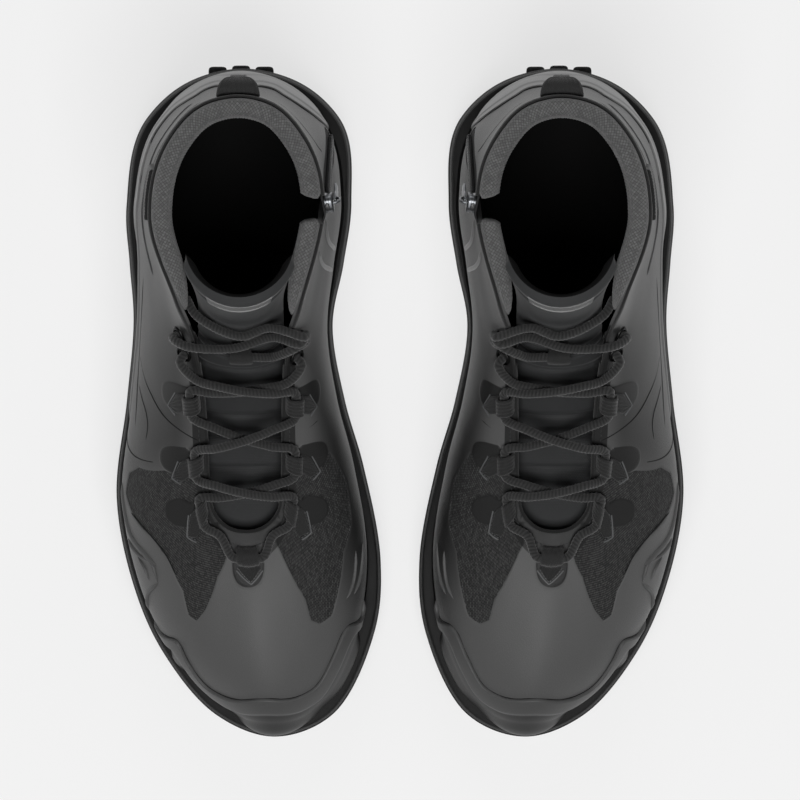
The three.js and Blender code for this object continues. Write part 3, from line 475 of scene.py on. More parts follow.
# Polyurethane film over textile: satin, with a fine leather-like grain. Ripstop mesh: woven in
# small bricks 1.5 mm long, with dark gaps between the yarns that give it a dull speckle.
upper_skin = surface("polyurethane_film_on_ripstop", "#4d4d4d", 0.5, Specular_IOR_Level=0.28)
weave = add(upper_skin, "Attribute", attribute_name="weave").outputs["Vector"]
reach_in = add(upper_skin, "Attribute", attribute_name="mesh_depth").outputs["Fac"]
mask = add(upper_skin, "MapRange", {"Value": reach_in, "From Min": -0.15, "From Max": 0.15}).outputs["Result"]
turned = add(upper_skin, "Mapping", {"Vector": weave, "Rotation": (0, 0, 0.45)}).outputs["Vector"]
yarns = add(upper_skin, "TexBrick", {
    "Vector": turned, "Scale": 1.0, "Brick Width": 1.5, "Row Height": 0.95, "Mortar Size": 0.16,
    "Mortar Smooth": 0.6, "Color1": linear("#4a4a4a"), "Color2": linear("#303030"),
    "Mortar": linear("#101010")})
grain = add(upper_skin, "TexNoise", {"Vector": weave, "Scale": 1.4, "Detail": 4.0, "Roughness": 0.6})
tint = add(upper_skin, "Mix", {
    "Factor": grain.outputs["Fac"], 6: linear("#525252"), 7: linear("#5d5d5d")}, data_type="RGBA")
# Painted shade: this mask turns the film's colour to #2b2b2b on the wall between the boots and on the outer
# wall behind the ball of the foot.
painted_shade_panel = add(upper_skin, "Attribute", attribute_name="painted_shade_panel").outputs["Fac"]
tint_with_painted_shade = add(upper_skin, "Mix", {"Factor": painted_shade_panel, 6: tint.outputs[2], 7: linear("#2b2b2b")},
             data_type="RGBA")
woven = add(upper_skin, "Mix", {
    "Factor": mask, 6: tint_with_painted_shade.outputs[2], 7: yarns.outputs["Color"]}, data_type="RGBA")
# Painted shadow: this mask turns the colour to #262626 round the loops and along the edge of the throat.
loop_and_throat_shadow = add(upper_skin, "Attribute", attribute_name="patch").outputs["Fac"]
painted_shadow_mask = add(upper_skin, "MapRange", {"Value": loop_and_throat_shadow, "From Min": -0.15, "From Max": 0.15})
base = add(upper_skin, "Mix", {"Factor": painted_shadow_mask.outputs["Result"], 6: woven.outputs[2],
                               7: linear("#262626")}, data_type="RGBA")
link(upper_skin, base.outputs[2], "Base Color")
rough = add(upper_skin, "MapRange", {"Value": mask, "To Min": 0.46, "To Max": 0.85})
link(upper_skin, rough.outputs["Result"], "Roughness")
high = add(upper_skin, "Math", {0: yarns.outputs["Fac"], 1: mask}, operation="MULTIPLY")
height = add(upper_skin, "Math", {
    0: high.outputs[0], 1: -1.0, 2: grain.outputs["Fac"]}, operation="MULTIPLY_ADD")
bump = add(upper_skin, "Bump", {"Height": height.outputs[0], "Strength": 0.35, "Distance": 0.0004})
link(upper_skin, bump.outputs["Normal"], "Normal")

# Brushed polyester lining: black and quite dull.
lining = surface("brushed_lining", "#080808", 0.95, Specular_IOR_Level=0.15)
fuzz = add(lining, "TexNoise", {"Scale": 900.0, "Detail": 3.0})
lint = add(lining, "Mix", {"Factor": fuzz.outputs["Fac"], 6: linear("#070707"), 7: linear("#141414")},
           data_type="RGBA")
link(lining, lint.outputs[2], "Base Color")
link(lining, add(lining, "Bump", {"Height": fuzz.outputs["Fac"], "Strength": 0.3,
                                  "Distance": 0.0004}).outputs["Normal"], "Normal")
skin_faces = (skin_rows - 1) * (skin_columns - 1)
inner_faces = np.zeros(len(skin_mesh[1]))
inner_faces[skin_faces:2 * skin_faces] = 1
# The masks carry painted shade on the walls, and painted shadow round the loops and along the throat's edge.
boots("upper_skin", skin_mesh, [upper_skin, lining],
      stands_for=("vamp", "outer_quarter", "inner_quarter", "heel_quarter"),
      weave=np.vstack([skin_weave, skin_weave]),
      masks={"mesh_depth": np.clip(np.r_[mesh_depth.ravel(), mesh_depth.ravel()], -3, 3),
             "painted_shade_panel": np.tile(np.maximum(inner_wall_painted_shade, outer_wall_painted_shade).ravel(), 2),
             "patch": np.tile(np.clip(np.maximum(patch, throat_painted_shade * 2 - 1), -3, 3).ravel(), 2)},
      inner=inner_faces)

# ---- Midsole ----
# Moulded EVA foam. Its wall bulges over the tread, has a parting groove at mid height and ends in a
# rounded lip that the upper sits in; the dished top holds the insole board.
FLOOR_DROP = 6.3
TREAD = 9  # lugs and tread plate together


def spring(y):
    """How far the sole curls up off the ground towards the toe and the back of the heel."""
    toe = 12 * (np.maximum(-85 - y, 0) / 67.5) ** 2
    return toe + 2.5 * (np.maximum(y - 125, 0) / 25) ** 2


def outset(line, u, distance):
    """A rail of the last moved outwards in plan."""
    way = rail(line, np.add(u, 0.01)) - rail(line, np.subtract(u, 0.01))
    out = unit(np.stack([way[..., 1], -way[..., 0], np.zeros(way.shape[:-1])], -1))
    return rail(line, u) + out * np.asarray(distance, float)[..., None]


def at_height(points, z):
    points = points.copy()
    points[..., 2] = z
    return points


def ring_solid(rings):
    """A closed solid from closed rings. The first and last rings are filled straight across."""
    rows, columns = len(rings), len(rings[0])
    j = np.arange(columns // 2)
    fill = np.stack([j, j + 1, (columns - j - 1) % columns, (columns - j) % columns], -1)
    faces = [grid_faces(rows, columns, closed=True), fill[:, ::-1], fill + (rows - 1) * columns]
    return np.vstack(rings), np.vstack(faces)


sole_columns = 480
half_turn = even(0, HEEL, sole_columns // 2 + 1, 0)[0]
other_half = even(-HEEL, 0, sole_columns // 2 + 1, 0)[0]
sole_u = np.r_[half_turn, other_half[1:-1]]
sole_line = rail(0, sole_u)
feather = rail(1, sole_u)
wall_low = TREAD + spring(sole_line[:, 1]) + 0.1
wall_high = feather[:, 2] + 2
floor_level = (feather[:, 2] + rail(1, -sole_u)[:, 2]) / 2 - FLOOR_DROP
# Share of the wall's height, and how far the wall stands inside the sole's widest outline.
WALL = [(0, 2.2), (0.06, 1.2), (0.16, 0.45), (0.28, 0.05), (0.38, 0.0), (0.46, 0.25), (0.5, 0.7),
        (0.52, 1.7), (0.555, 1.75), (0.575, 0.9), (0.62, 0.65), (0.72, 0.85), (0.83, 1.25), (0.9, 1.6),
        (0.925, 2.2), (0.945, 2.2), (0.965, 1.8), (0.99, 2.1), (1.0, 2.7)]
sway = 0.07 * np.sin(sole_line[:, 1] / 21) + 0.05 * np.sin(sole_line[:, 1] / 9.5 + 1)
rings = []
for share, inwards in WALL:
    moved = share + sway * np.exp(-((share - 0.54) / 0.16) ** 2)
    rings.append(at_height(outset(0, sole_u, np.full(len(sole_u), -inwards)),
                           wall_low + (wall_high - wall_low) * moved))
for out, rise in ((3.4, 2.25), (2.7, 2.2), (2.2, 1.7), (1.7, 0.4), (0.4, -0.4), (-4.2, -0.4)):
    rings.append(at_height(outset(1, sole_u, np.full(len(sole_u), out)), feather[:, 2] + rise))
rings.append(at_height(outset(1, sole_u, np.full(len(sole_u), -6.0)), floor_level))
# EVA foam: skin-moulded, so matt, with a fine pebbled texture.
foam = surface("moulded_eva_foam", "#1b1b1b", 0.62, Specular_IOR_Level=0.25)
pebble = add(foam, "TexVoronoi", {"Scale": 900.0}, feature="SMOOTH_F1")
clouds = add(foam, "TexNoise", {"Scale": 40.0, "Detail": 4.0})
link(foam, add(foam, "Mix", {"Factor": clouds.outputs["Fac"], 6: linear("#161616"), 7: linear("#222222")},
               data_type="RGBA").outputs[2], "Base Color")
link(foam, add(foam, "Bump", {"Height": pebble.outputs["Distance"], "Strength": 0.25,
                              "Distance": 0.0003}).outputs["Normal"], "Normal")
boots("midsole_foam", ring_solid(rings), [foam], stands_for=("midsole",))

# ---- Toe cap ----
# A moulded polyurethane bumper bonded round the toe. Its upper edge is a rounded bead; under a flat
# band lies a hollow, coloured darker as painted shade, and below it the bumper thickens and runs into the lip
# of the midsole.
TOE_EDGE = [(107.8, -104.4), (100.1, -108.5), (95.1, -117.9), (87.9, -127.9), (79.3, -133.3),
            (62, -134.6), (46.3, -133.8), (38.6, -129.2), (31.4, -116.6), (24.2, -102.1), (17.8, -97.2)]
edge = below(TOE_EDGE)
edge = edge[np.argsort(edge[:, 0])]
edge = np.vstack([[edge[0, 0] - 0.25, 0.16], edge, [edge[-1, 0] + 0.25, 0.16]])
edge_line = curve(edge, np.linspace(0, 1, 400))
cap_u = even(edge[0, 0], edge[-1, 0], 300, 0.2)[0]
cap_high = np.interp(cap_u, edge_line[:, 0], edge_line[:, 1])
cap_share = np.linspace(0, 1, 46) ** 1.35
cap_v = cap_high[:, None] + (0.015 - cap_high)[:, None] * cap_share[None, :]
cap_uu = np.broadcast_to(cap_u[:, None], cap_v.shape)
cap_points = face(cap_uu, cap_v)
cap_down = np.concatenate([np.zeros((len(cap_u), 1)),
                           np.cumsum(np.linalg.norm(np.diff(cap_points, axis=1), axis=-1), axis=1)], 1)
bead = np.sqrt(1 - (1 - np.clip(cap_down / 0.8, 0, 1)) ** 2)
hollow = ramp(cap_down, 7.4, 10.0) * (1 - ramp(cap_down, 19, 27))
cap_end = ramp(np.minimum(cap_u - cap_u[0], cap_u[-1] - cap_u), 0, 0.16)[:, None]
cap_fade = np.maximum(cap_end, 0.12)
cap_rise = 0.6 + 1.1 * bead - hollow + 2.5 * ramp(cap_down, 15, 25)
cap_lift = 0.3 + cap_rise * cap_fade
cap_front = on_upper(cap_uu, cap_v, cap_lift)
cap_back = on_upper(cap_uu, cap_v, np.full(cap_v.shape, 0.1))
# Moulded polyurethane: smooth and satin, with faint flow marks and scuffs on the bead.
moulded = surface("moulded_polyurethane", "#4d4d4d", 0.45, Specular_IOR_Level=0.3)
flow = add(moulded, "TexNoise", {"Scale": 60.0, "Detail": 5.0, "Roughness": 0.6})
flow_tint = add(moulded, "Mix", {"Factor": flow.outputs["Fac"], 6: linear("#4a4a4a"), 7: linear("#525252")},
                data_type="RGBA").outputs[2]
# Painted shade: the hollow's colour is darkened to #2c2c2c.
hollow_painted_shade = add(moulded, "Attribute", attribute_name="hollow").outputs["Fac"]
link(moulded, add(moulded, "Mix", {"Factor": hollow_painted_shade, 6: flow_tint, 7: linear("#2c2c2c")},
                  data_type="RGBA").outputs[2], "Base Color")
link(moulded, add(moulded, "MapRange", {"Value": flow.outputs["Fac"], "To Min": 0.44, "To Max": 0.5})
     .outputs["Result"], "Roughness")
speck = add(moulded, "TexNoise", {"Scale": 1400.0, "Detail": 2.0})
link(moulded, add(moulded, "Bump", {"Height": speck.outputs["Fac"], "Strength": 0.12,
                                    "Distance": 0.0002}).outputs["Normal"], "Normal")
# The hollow mask also carries the painted shade of the hollow.
boots("toe_bumper", plate(cap_front, cap_back), [moulded], stands_for=("toe_cap",),
      masks={"hollow": np.tile((hollow * cap_fade).ravel(), 2)})

# ---- Tread ----
# One rubber outsole cemented under the foam: a plate that follows the sole's outline, blocks round
# its edge, slanted bars down its middle, and three climbing lugs behind the heel.
rubber = surface("carbon_rubber", "#1b1b1b", 0.7, Specular_IOR_Level=0.4)
dust = add(rubber, "TexNoise", {"Scale": 300.0, "Detail": 4.0})
link(rubber, add(rubber, "Mix", {"Factor": dust.outputs["Fac"], 6: linear("#121212"), 7: linear("#202020")},
                 data_type="RGBA").outputs[2], "Base Color")
link(rubber, add(rubber, "Bump", {"Height": dust.outputs["Fac"], "Strength": 0.25, "Distance": 0.0003})
     .outputs["Normal"], "Normal")


def tube(rings):
    """A closed skin over closed rings of points, each end drawn together at its middle."""
    rows, columns = rings.shape[:2]
    j = np.arange(columns)
    k = (j + 1) % columns
    last = (rows - 1) * columns
    start, stop = (np.full(columns, rows * columns + end) for end in (0, 1))
    first_fan = np.stack([j, k, start, start], -1)
    last_fan = np.stack([k + last, j + last, stop, stop], -1)
    points = np.vstack([rings.reshape(-1, 3), rings[0].mean(axis=0), rings[-1].mean(axis=0)])
    return points, np.vstack([grid_faces(rows, columns, closed=True), first_fan, last_fan])


def squared(turn, power):
    """Cosine and sine of a turn round a rounded square. The lower the power, the squarer it is."""
    cos, sin = np.cos(turn), np.sin(turn)
    return np.sign(cos) * np.abs(cos) ** power, np.sign(sin) * np.abs(sin) ** power


# The plate's edge: how far it stands inside the sole's widest outline, and its height.
PLATE_EDGE = ((3.0, 4.0), (1.2, 4.05), (0.4, 4.6), (0.2, 6.0), (0.3, 8.4), (1.0, 9.0), (3.0, 9.05))
sole_z = spring(sole_line[:, 1])
plate_rings = [at_height(outset(0, sole_u, np.full(len(sole_u), -inwards)), sole_z + z)
               for inwards, z in PLATE_EDGE]
dense_u = np.linspace(-HEEL, HEEL, 3001)
dense_length = np.r_[0, np.cumsum(np.linalg.norm(np.diff(rail(0, dense_u), axis=0), axis=1))]
corner = np.linspace(0, 2 * np.pi, 25)[:-1] + 0.13
boxy = np.stack(squared(corner, 0.4), -1)
LUG_SHAPE = ((0.9, 0.0), (0.97, 0.25), (1.0, 0.9), (1.04, 4.6))  # share of a lug's size, and height
lugs = []

# The blocks round the edge. Their sides slant one way and the other by turns.
EDGE_LUGS = 35
EDGE_MIDDLE = 7.4  # from the sole's widest outline
EDGE_HALF_DEPTH, EDGE_HALF_WIDTH = 6.9, 6.2
for number in range(EDGE_LUGS):
    middle = (number + 0.5) * dense_length[-1] / EDGE_LUGS
    rings = []
    for size, z in LUG_SHAPE:
        inwards = EDGE_MIDDLE + boxy[:, 1] * EDGE_HALF_DEPTH * size
        slant = (inwards - EDGE_MIDDLE) * 0.12 * (1 if number % 2 else -1)
        half_width = EDGE_HALF_WIDTH * size * (1 - 0.012 * inwards)
        u = np.interp(middle + boxy[:, 0] * half_width + slant, dense_length, dense_u)
        ground = outset(0, u, -inwards)
        rings.append(at_height(ground, spring(ground[:, 1]) + z))
    lugs.append(tube(np.stack(rings)))

outer_edge = rail(0, np.linspace(0, HEEL, 400))[::-1]
inner_edge = rail(0, np.linspace(-HEEL, 0, 400))


def sole_middle(y):
    """Middle of the sole, in X, at the places y along it."""
    outer, inner = (np.interp(-y, -line[:, 1], line[:, 0]) for line in (outer_edge, inner_edge))
    return (outer + inner) / 2


# The bars down the middle, in pairs that point to the heel.
BAR_PITCH = 15.5
BAR_MIDDLE = 10.5  # from the middle of the sole
BAR_HALF_LENGTH, BAR_HALF_WIDTH = 8.5, 3.6
for row in np.arange(-113, 123, BAR_PITCH):
    for way in (1, -1):
        rings = []
        for size, z in LUG_SHAPE:
            aside = BAR_MIDDLE + boxy[:, 0] * BAR_HALF_LENGTH * size
            y = row + boxy[:, 1] * BAR_HALF_WIDTH * size - aside * 0.45
            rings.append(np.stack([sole_middle(y) + way * aside, y, spring(y) + z], -1))
        lugs.append(tube(np.stack(rings)))

# The climbing lugs, upright at the back of the heel: share of their size, and height.
CLIMBING = ((0.85, 1.5), (0.98, 1.9), (1, 4), (1, 9.5), (0.97, 10.6), (0.8, 11.2))
CLIMBING_X, CLIMBING_Y = 71.7, 148.1
for shift in (-10.2, 0.4, 11.0):
    rings = []
    for size, z in CLIMBING:
        x = CLIMBING_X + shift + boxy[:, 0] * 4.2 * size
        y = CLIMBING_Y - abs(shift) * 0.05 + boxy[:, 1] * 3.7 * size
        rings.append(np.stack([x, y, np.full(len(boxy), z)], -1))
    lugs.append(tube(np.stack(rings)))
boots("tread_rubber", together([ring_solid(plate_rings)] + lugs), [rubber],
      stands_for=("outsole",))

# ---- Inside the boot ----
# A sprung steel shank and a fibre board lie under the footbed, which is foam with a knitted cover.
steel = surface("spring_steel", "#8c8f92", 0.35, Metallic=1.0)
blued = add(steel, "TexNoise", {"Scale": 200.0, "Detail": 3.0})
link(steel, add(steel, "MapRange", {"Value": blued.outputs["Fac"], "To Min": 0.28, "To Max": 0.5})
     .outputs["Result"], "Roughness")
board = surface("pressed_fibre_board", "#6e5b45", 0.9)
fibres = add(board, "TexNoise", {"Scale": 1200.0, "Detail": 4.0})
link(board, add(board, "Mix", {"Factor": fibres.outputs["Fac"], 6: linear("#5f4e3b"), 7: linear("#7c684f")},
                data_type="RGBA").outputs[2], "Base Color")
for side, _ in SIDES:
    for node, material in (("shank", steel), ("insole_board", board), ("footbed", lining)):
        for place in bpy.data.objects[f"{side}_{node}"].material_slots:
            place.material = material

# ---- Collar ----
# Foam bolsters under a knitted cover, sewn inside the top line: a long one round the outer side and
# the heel as far as the zip, and a short one in front of the zip.

# A bolster's section: how far it stands off the upper's face, and how high over the top line.
RIM_SECTION = [(-2.9, -8), (-2.8, -1.6), (-1.4, 0.3), (-1.2, 1.9), (-2.4, 3.4), (-5.0, 4.2),
               (-7.4, 3.7), (-9.1, 2.0), (-9.8, -1.5), (-10, -8), (-9.4, -16), (-7.6, -23),
               (-5.2, -26), (-3.4, -23), (-2.9, -15)]
section_share = np.linspace(0, 1, 400)
section_loop = curve(RIM_SECTION[-1:] + RIM_SECTION + RIM_SECTION[:2], section_share)
section_len = np.r_[0, np.cumsum(np.linalg.norm(np.diff(section_loop, axis=0), axis=1))]
step = 0.45
KNIT_CELL, KNIT_RELIEF = 1.8, 0.16
first, last = (np.interp(k / (len(RIM_SECTION) + 2), section_share, section_len)
               for k in (1, len(RIM_SECTION) + 1))
ring_marks = np.linspace(first, last, int((last - first) / step))[:-1]
section = np.stack([np.interp(ring_marks, section_len, section_loop[:, k]) for k in (0, 1)], -1)


def collar(start, stop, thin_end):
    """A bolster from column start to column stop, thin at one end."""
    length = np.linalg.norm(np.diff(face(np.linspace(start, stop, 200), 1.0), axis=0), axis=1).sum()
    u, along = even(start, stop, int(length / step), 1.0)
    grown = 0.3 + 0.7 * ramp(np.abs(u - thin_end), 0, 0.75)
    grown *= np.sqrt(np.clip(np.minimum(along, along[-1] - along) / 3.0, 0.02, 1))
    lift = -2.9 + (section[None, :, 0] + 2.9) * grown[:, None]
    rise = section[None, :, 1] * np.minimum(1, grown * 1.4)[:, None]
    tall = np.linalg.norm(rail(4, u) - face(u, 0.6), axis=-1) / 0.4
    v = 1 + np.minimum(rise, 0) / tall[:, None]
    uu = np.broadcast_to(u[:, None], v.shape)
    points = on_upper(uu, v, lift)
    points[..., 2] += np.maximum(rise, 0)
    way = unit(np.roll(points, -1, axis=1) - np.roll(points, 1, axis=1))
    out = unit(np.cross(way, unit(np.gradient(points, axis=0))))
    if (out * (points - points.mean(axis=1, keepdims=True))).sum() < 0:
        out = -out
    a = along[:, None] / KNIT_CELL
    b = (ring_marks[None, :] - ring_marks[0]) / KNIT_CELL
    knit = np.cos(np.pi * (a + b)) * np.cos(np.pi * (a - b))
    points = points + out * (KNIT_RELIEF * knit)[..., None]
    weave = np.stack(np.broadcast_arrays(along[:, None], ring_marks[None, :]), -1).reshape(-1, 2)
    return tube(points), np.vstack([weave, [[0, 0], [0, 0]]])


# Spacer knit: rows of small cells with darker hollows between them.
collar_knit = surface("spacer_knit", "#585858", 0.85, Sheen_Weight=0.25)
cells = add(collar_knit, "Attribute", attribute_name="weave").outputs["Vector"]
diagonal = add(collar_knit, "Mapping", {
    "Vector": cells, "Rotation": (0, 0, math.radians(45))}).outputs["Vector"]
loops = add(collar_knit, "TexBrick", {
    "Vector": diagonal, "Scale": 1.0, "Brick Width": KNIT_CELL / 1.414, "Row Height": KNIT_CELL / 1.414,
    "Mortar Size": 0.19, "Mortar Smooth": 1.0, "Color1": linear("#6c6c6c"), "Color2": linear("#575757"),
    "Mortar": linear("#343434")}, offset=0.0)
link(collar_knit, loops.outputs["Color"], "Base Color")
link(collar_knit, add(collar_knit, "Bump", {"Height": loops.outputs["Fac"], "Strength": 0.5,
                                            "Distance": 0.0004}, invert=True).outputs["Normal"], "Normal")
COLLAR_FRONT = 6.7
for name, node, start, stop, thin in (
        ("collar_bolster", "collar_pad", COLLAR_FRONT, zip_edge(1.0, -1, 5.0) + COLUMNS, COLLAR_FRONT),
        ("front_collar_bolster", "inner_collar_pad", zip_edge(1.0, 1, 5.0) + COLUMNS, 13.3, 13.3)):
    shape, weave_map = collar(start, stop, thin)
    for piece in boots(name, shape, [collar_knit], stands_for=(node,), weave=weave_map):
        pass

# ---- Tongue ----
# Padded, with a smooth synthetic face and a soft lining, sewn in under the vamp. The part under the
# laces is quilted across, and a thick rolled edge stands above the collar.

# Places up the tongue: [y, height, half its width, how far its sides wrap down].
TONGUE = [[-74, 64, 22, 4], [-45, 73, 24, 6], [-18, 85, 24, 8], [5, 101, 23, 12], [22, 119, 21, 17],
          [33, 137, 21, 23.5], [40, 151, 24.5, 27], [43.5, 161, 27, 28.5]]
tongue_line = np.array([[0, y, z] for y, z, _, _ in TONGUE], float)
tongue_shape = np.array([[half, wrap, 0] for _, _, half, wrap in TONGUE], float)


def throat_middle(y):
    """Middle of the throat, in X, at a distance y from the toe end."""
    front, back = rail(4, 4)[1], rail(4, 6)[1]
    u = np.clip(4 + 2 * (y - front) / (back - front), 3, 6.5)
    return (rail(4, u)[..., 0] + rail(4, -u)[..., 0]) / 2


def tongue_at(s, a, lift):
    """A point over the tongue: s runs up it, a across it from -1 to 1."""
    s, a, lift = np.broadcast_arrays(np.asarray(s, float), np.asarray(a, float), np.asarray(lift, float))
    middle = curve(tongue_line, s)
    shape = curve(tongue_shape, s)
    half, wrap = shape[..., 0], shape[..., 1]
    tangent = unit(curve(tongue_line, s + 0.001) - curve(tongue_line, s - 0.001))
    inwards = np.stack([np.zeros(s.shape), tangent[..., 2], -tangent[..., 1]], -1)
    angle = a * np.pi / 2.3
    out = unit(np.stack([wrap * np.sin(angle), half * np.cos(angle)], -1)) * lift[..., None]
    middle[..., 0] = throat_middle(middle[..., 1]) + np.sin(angle) * half + out[..., 0]
    return middle + inwards * (wrap * (1 - np.cos(angle)) - out[..., 1])[..., None]


tongue_s = np.linspace(0.02, 1, 300)[:, None]
tongue_a = np.linspace(-1, 1, 90)[None, :]
up_tongue = np.linalg.norm(np.diff(curve(tongue_line, tongue_s[:, 0]), axis=0), axis=1)
tongue_up = np.r_[0, np.cumsum(up_tongue)][:, None]
side_round = np.sqrt(np.clip((1 - np.abs(tongue_a)) / 0.14, 0, 1))
from_top = tongue_up[-1] - tongue_up
top_round = np.sqrt(np.clip(from_top / 3.2, 0, 1))
quilted = ramp(tongue_s, 0.1, 0.16) * (1 - ramp(tongue_s, 0.56, 0.6))
channel = np.exp(-(((tongue_up - 8) % 13.5 - 6.75) / 1.3) ** 2)
rolled = np.exp(-((from_top - 4.5) / 3.0) ** 2) - 1.2 * np.exp(-((from_top - 10) / 1.2) ** 2)
seam_line = np.exp(-((tongue_s - 0.54 - 0.02 * tongue_a ** 2) / 0.006) ** 2)
tongue_relief = 0.6 * rolled - quilted * (0.9 * channel - 0.3) - 0.7 * seam_line
tongue_relief = tongue_relief + 0.18 * unevenness(tongue_at(tongue_s, tongue_a, 0) * 1.3)
HALF_TONGUE = 2.5
half_thick = HALF_TONGUE * side_round * top_round
front_lift = (half_thick + tongue_relief) * np.minimum(side_round * top_round * 1.2, 1) + 0.05
front = tongue_at(tongue_s, tongue_a, front_lift - HALF_TONGUE)
back = tongue_at(tongue_s, tongue_a, -HALF_TONGUE - half_thick - 0.05)
tongue_across = tongue_a * curve(tongue_shape, tongue_s[:, 0])[:, :1] * 1.25
tongue_weave = np.stack(np.broadcast_arrays(tongue_across, tongue_up), -1).reshape(-1, 2)
# Synthetic nubuck and woven polyester: matt, a fine grid of threads 0.8 mm apart under the laces.
tongue_cloth = surface("woven_polyester", "#28292a", 0.75, Sheen_Weight=0.15)
threads = add(tongue_cloth, "Attribute", attribute_name="weave").outputs["Vector"]
grid_cloth = add(tongue_cloth, "TexBrick", {
    "Vector": threads, "Scale": 1.0, "Brick Width": 1.1, "Row Height": 0.8, "Mortar Size": 0.12,
    "Mortar Smooth": 0.7, "Color1": linear("#303132"), "Color2": linear("#292a2b"),
    "Mortar": linear("#151516")})
woven_part = add(tongue_cloth, "Attribute", attribute_name="woven").outputs["Fac"]
shade = add(tongue_cloth, "TexNoise", {"Vector": threads, "Scale": 0.5, "Detail": 5.0})
smooth_part = add(tongue_cloth, "Mix", {
    "Factor": shade.outputs["Fac"], 6: linear("#242526"), 7: linear("#2c2d2e")}, data_type="RGBA")
link(tongue_cloth, add(tongue_cloth, "Mix", {
    "Factor": woven_part, 6: smooth_part.outputs[2], 7: grid_cloth.outputs["Color"]},
    data_type="RGBA").outputs[2], "Base Color")
link(tongue_cloth, add(tongue_cloth, "Bump", {"Height": shade.outputs["Fac"], "Strength": 0.3,
                                              "Distance": 0.0003}).outputs["Normal"], "Normal")
woven = np.broadcast_to(quilted, (tongue_s.size, tongue_a.size)).ravel()
tongue_mesh = plate(front, back)
front_count = (tongue_s.size - 1) * (tongue_a.size - 1)
lined = np.zeros(len(tongue_mesh[1]))
lined[front_count:2 * front_count] = 1
for piece in boots("tongue_padded", tongue_mesh, [tongue_cloth, lining],
                   stands_for=("tongue",), weave=np.vstack([tongue_weave, tongue_weave]),
                   masks={"woven": np.r_[woven, woven]}, inner=lined):
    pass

# ---- Heel counter ----
# The counter is a lighter moulded film shell round the heel. Its upper edge waves down either side
# of the pull tab, and its bottom runs into the lip of the midsole.
COUNTER_EDGE = [(7.2, 0.04), (7.5, 0.17), (8.0, 0.29), (8.6, 0.35), (9.0, 0.4), (9.25, 0.46),
                (9.4, 0.54), (9.5, 0.57), (9.6, 0.545), (9.75, 0.56), (9.88, 0.66), (10.12, 0.66),
                (10.25, 0.58), (10.4, 0.545), (10.52, 0.57), (10.66, 0.54), (10.82, 0.45),
                (10.95, 0.33), (11.05, 0.18), (11.1, 0.04)]
edge_line = curve(COUNTER_EDGE, np.linspace(0, 1, 500))
counter_u, counter_along = even(7.22, 11.08, 340, 0.4)
counter_high = np.interp(counter_u, edge_line[:, 0], edge_line[:, 1])
counter_share = np.linspace(0, 1, 60) ** 1.3
counter_v = counter_high[:, None] + (0.02 - counter_high)[:, None] * counter_share[None, :]
counter_uu = np.broadcast_to(counter_u[:, None], counter_v.shape)
counter_points = face(counter_uu, counter_v)
fall = np.linalg.norm(np.diff(counter_points, axis=1), axis=-1)
counter_down = np.concatenate([np.zeros((len(counter_u), 1)), np.cumsum(fall, axis=1)], 1)
shell_edge = np.sqrt(1 - (1 - np.clip(counter_down / 0.9, 0, 1)) ** 2)
ends = ramp(np.minimum(counter_along, counter_along[-1] - counter_along), 0, 1.5)[:, None]
ledge = 0.5 * ramp(counter_down, 9, 12) + 0.5 * ramp(counter_down, 30, 36)
counter_lift = 0.5 + (0.95 * shell_edge + ledge * shell_edge) * ends
counter_front = on_upper(counter_uu, counter_v, counter_lift)
counter_back = on_upper(counter_uu, counter_v, np.full(counter_v.shape, 0.2))
# Moulded thermoplastic film: smooth, satin and paler than the rest of the upper.
counter_film = surface("moulded_thermoplastic_film", "#6a6a6a", 0.42, Specular_IOR_Level=0.45)
mould = add(counter_film, "TexNoise", {"Scale": 90.0, "Detail": 5.0})
link(counter_film, add(counter_film, "Mix", {
    "Factor": mould.outputs["Fac"], 6: linear("#646464"), 7: linear("#707070")},
    data_type="RGBA").outputs[2], "Base Color")
fine = add(counter_film, "TexNoise", {"Scale": 1500.0})
link(counter_film, add(counter_film, "Bump", {"Height": fine.outputs["Fac"], "Strength": 0.1,
                                              "Distance": 0.0002}).outputs["Normal"], "Normal")
boots("heel_counter", plate(counter_front, counter_back), [counter_film],
      stands_for=("heel_cup",))

# ---- Seams, ribs and bindings ----
# The film is cut in panels whose edges show as thin dark lines; moulded ribs protect the side of the
# forefoot; a folded knit tape binds the top line, and the throat has a corded edge.


def strip(places, width, low, high, taper=3.0, step=1.0):
    """A rounded strip that lies along a line over the upper, narrowing at both ends."""
    line = trail(places, step)
    u, v = line[:, 0], np.minimum(line[:, 1], 1)
    centre, out = face(u, v), facing(u, v)
    side = unit(np.cross(out, unit(np.gradient(centre, axis=0))))
    length = np.r_[0, np.cumsum(np.linalg.norm(np.diff(centre, axis=0), axis=1))]
    thin = np.sqrt(np.clip(np.minimum(length, length[-1] - length) / taper, 0.03, 1))
    angle = np.linspace(0, 2 * np.pi, 14)[:-1]
    across = np.cos(angle)[None, :, None] * (width / 2 * thin)[:, None, None]
    tall = np.where(np.sin(angle) > 0, np.sin(angle) * (high - low), np.sin(angle) * 0.25)
    return tube(centre[:, None] + side[:, None] * across
                + out[:, None] * (low + tall[None, :, None] * thin[:, None, None]))


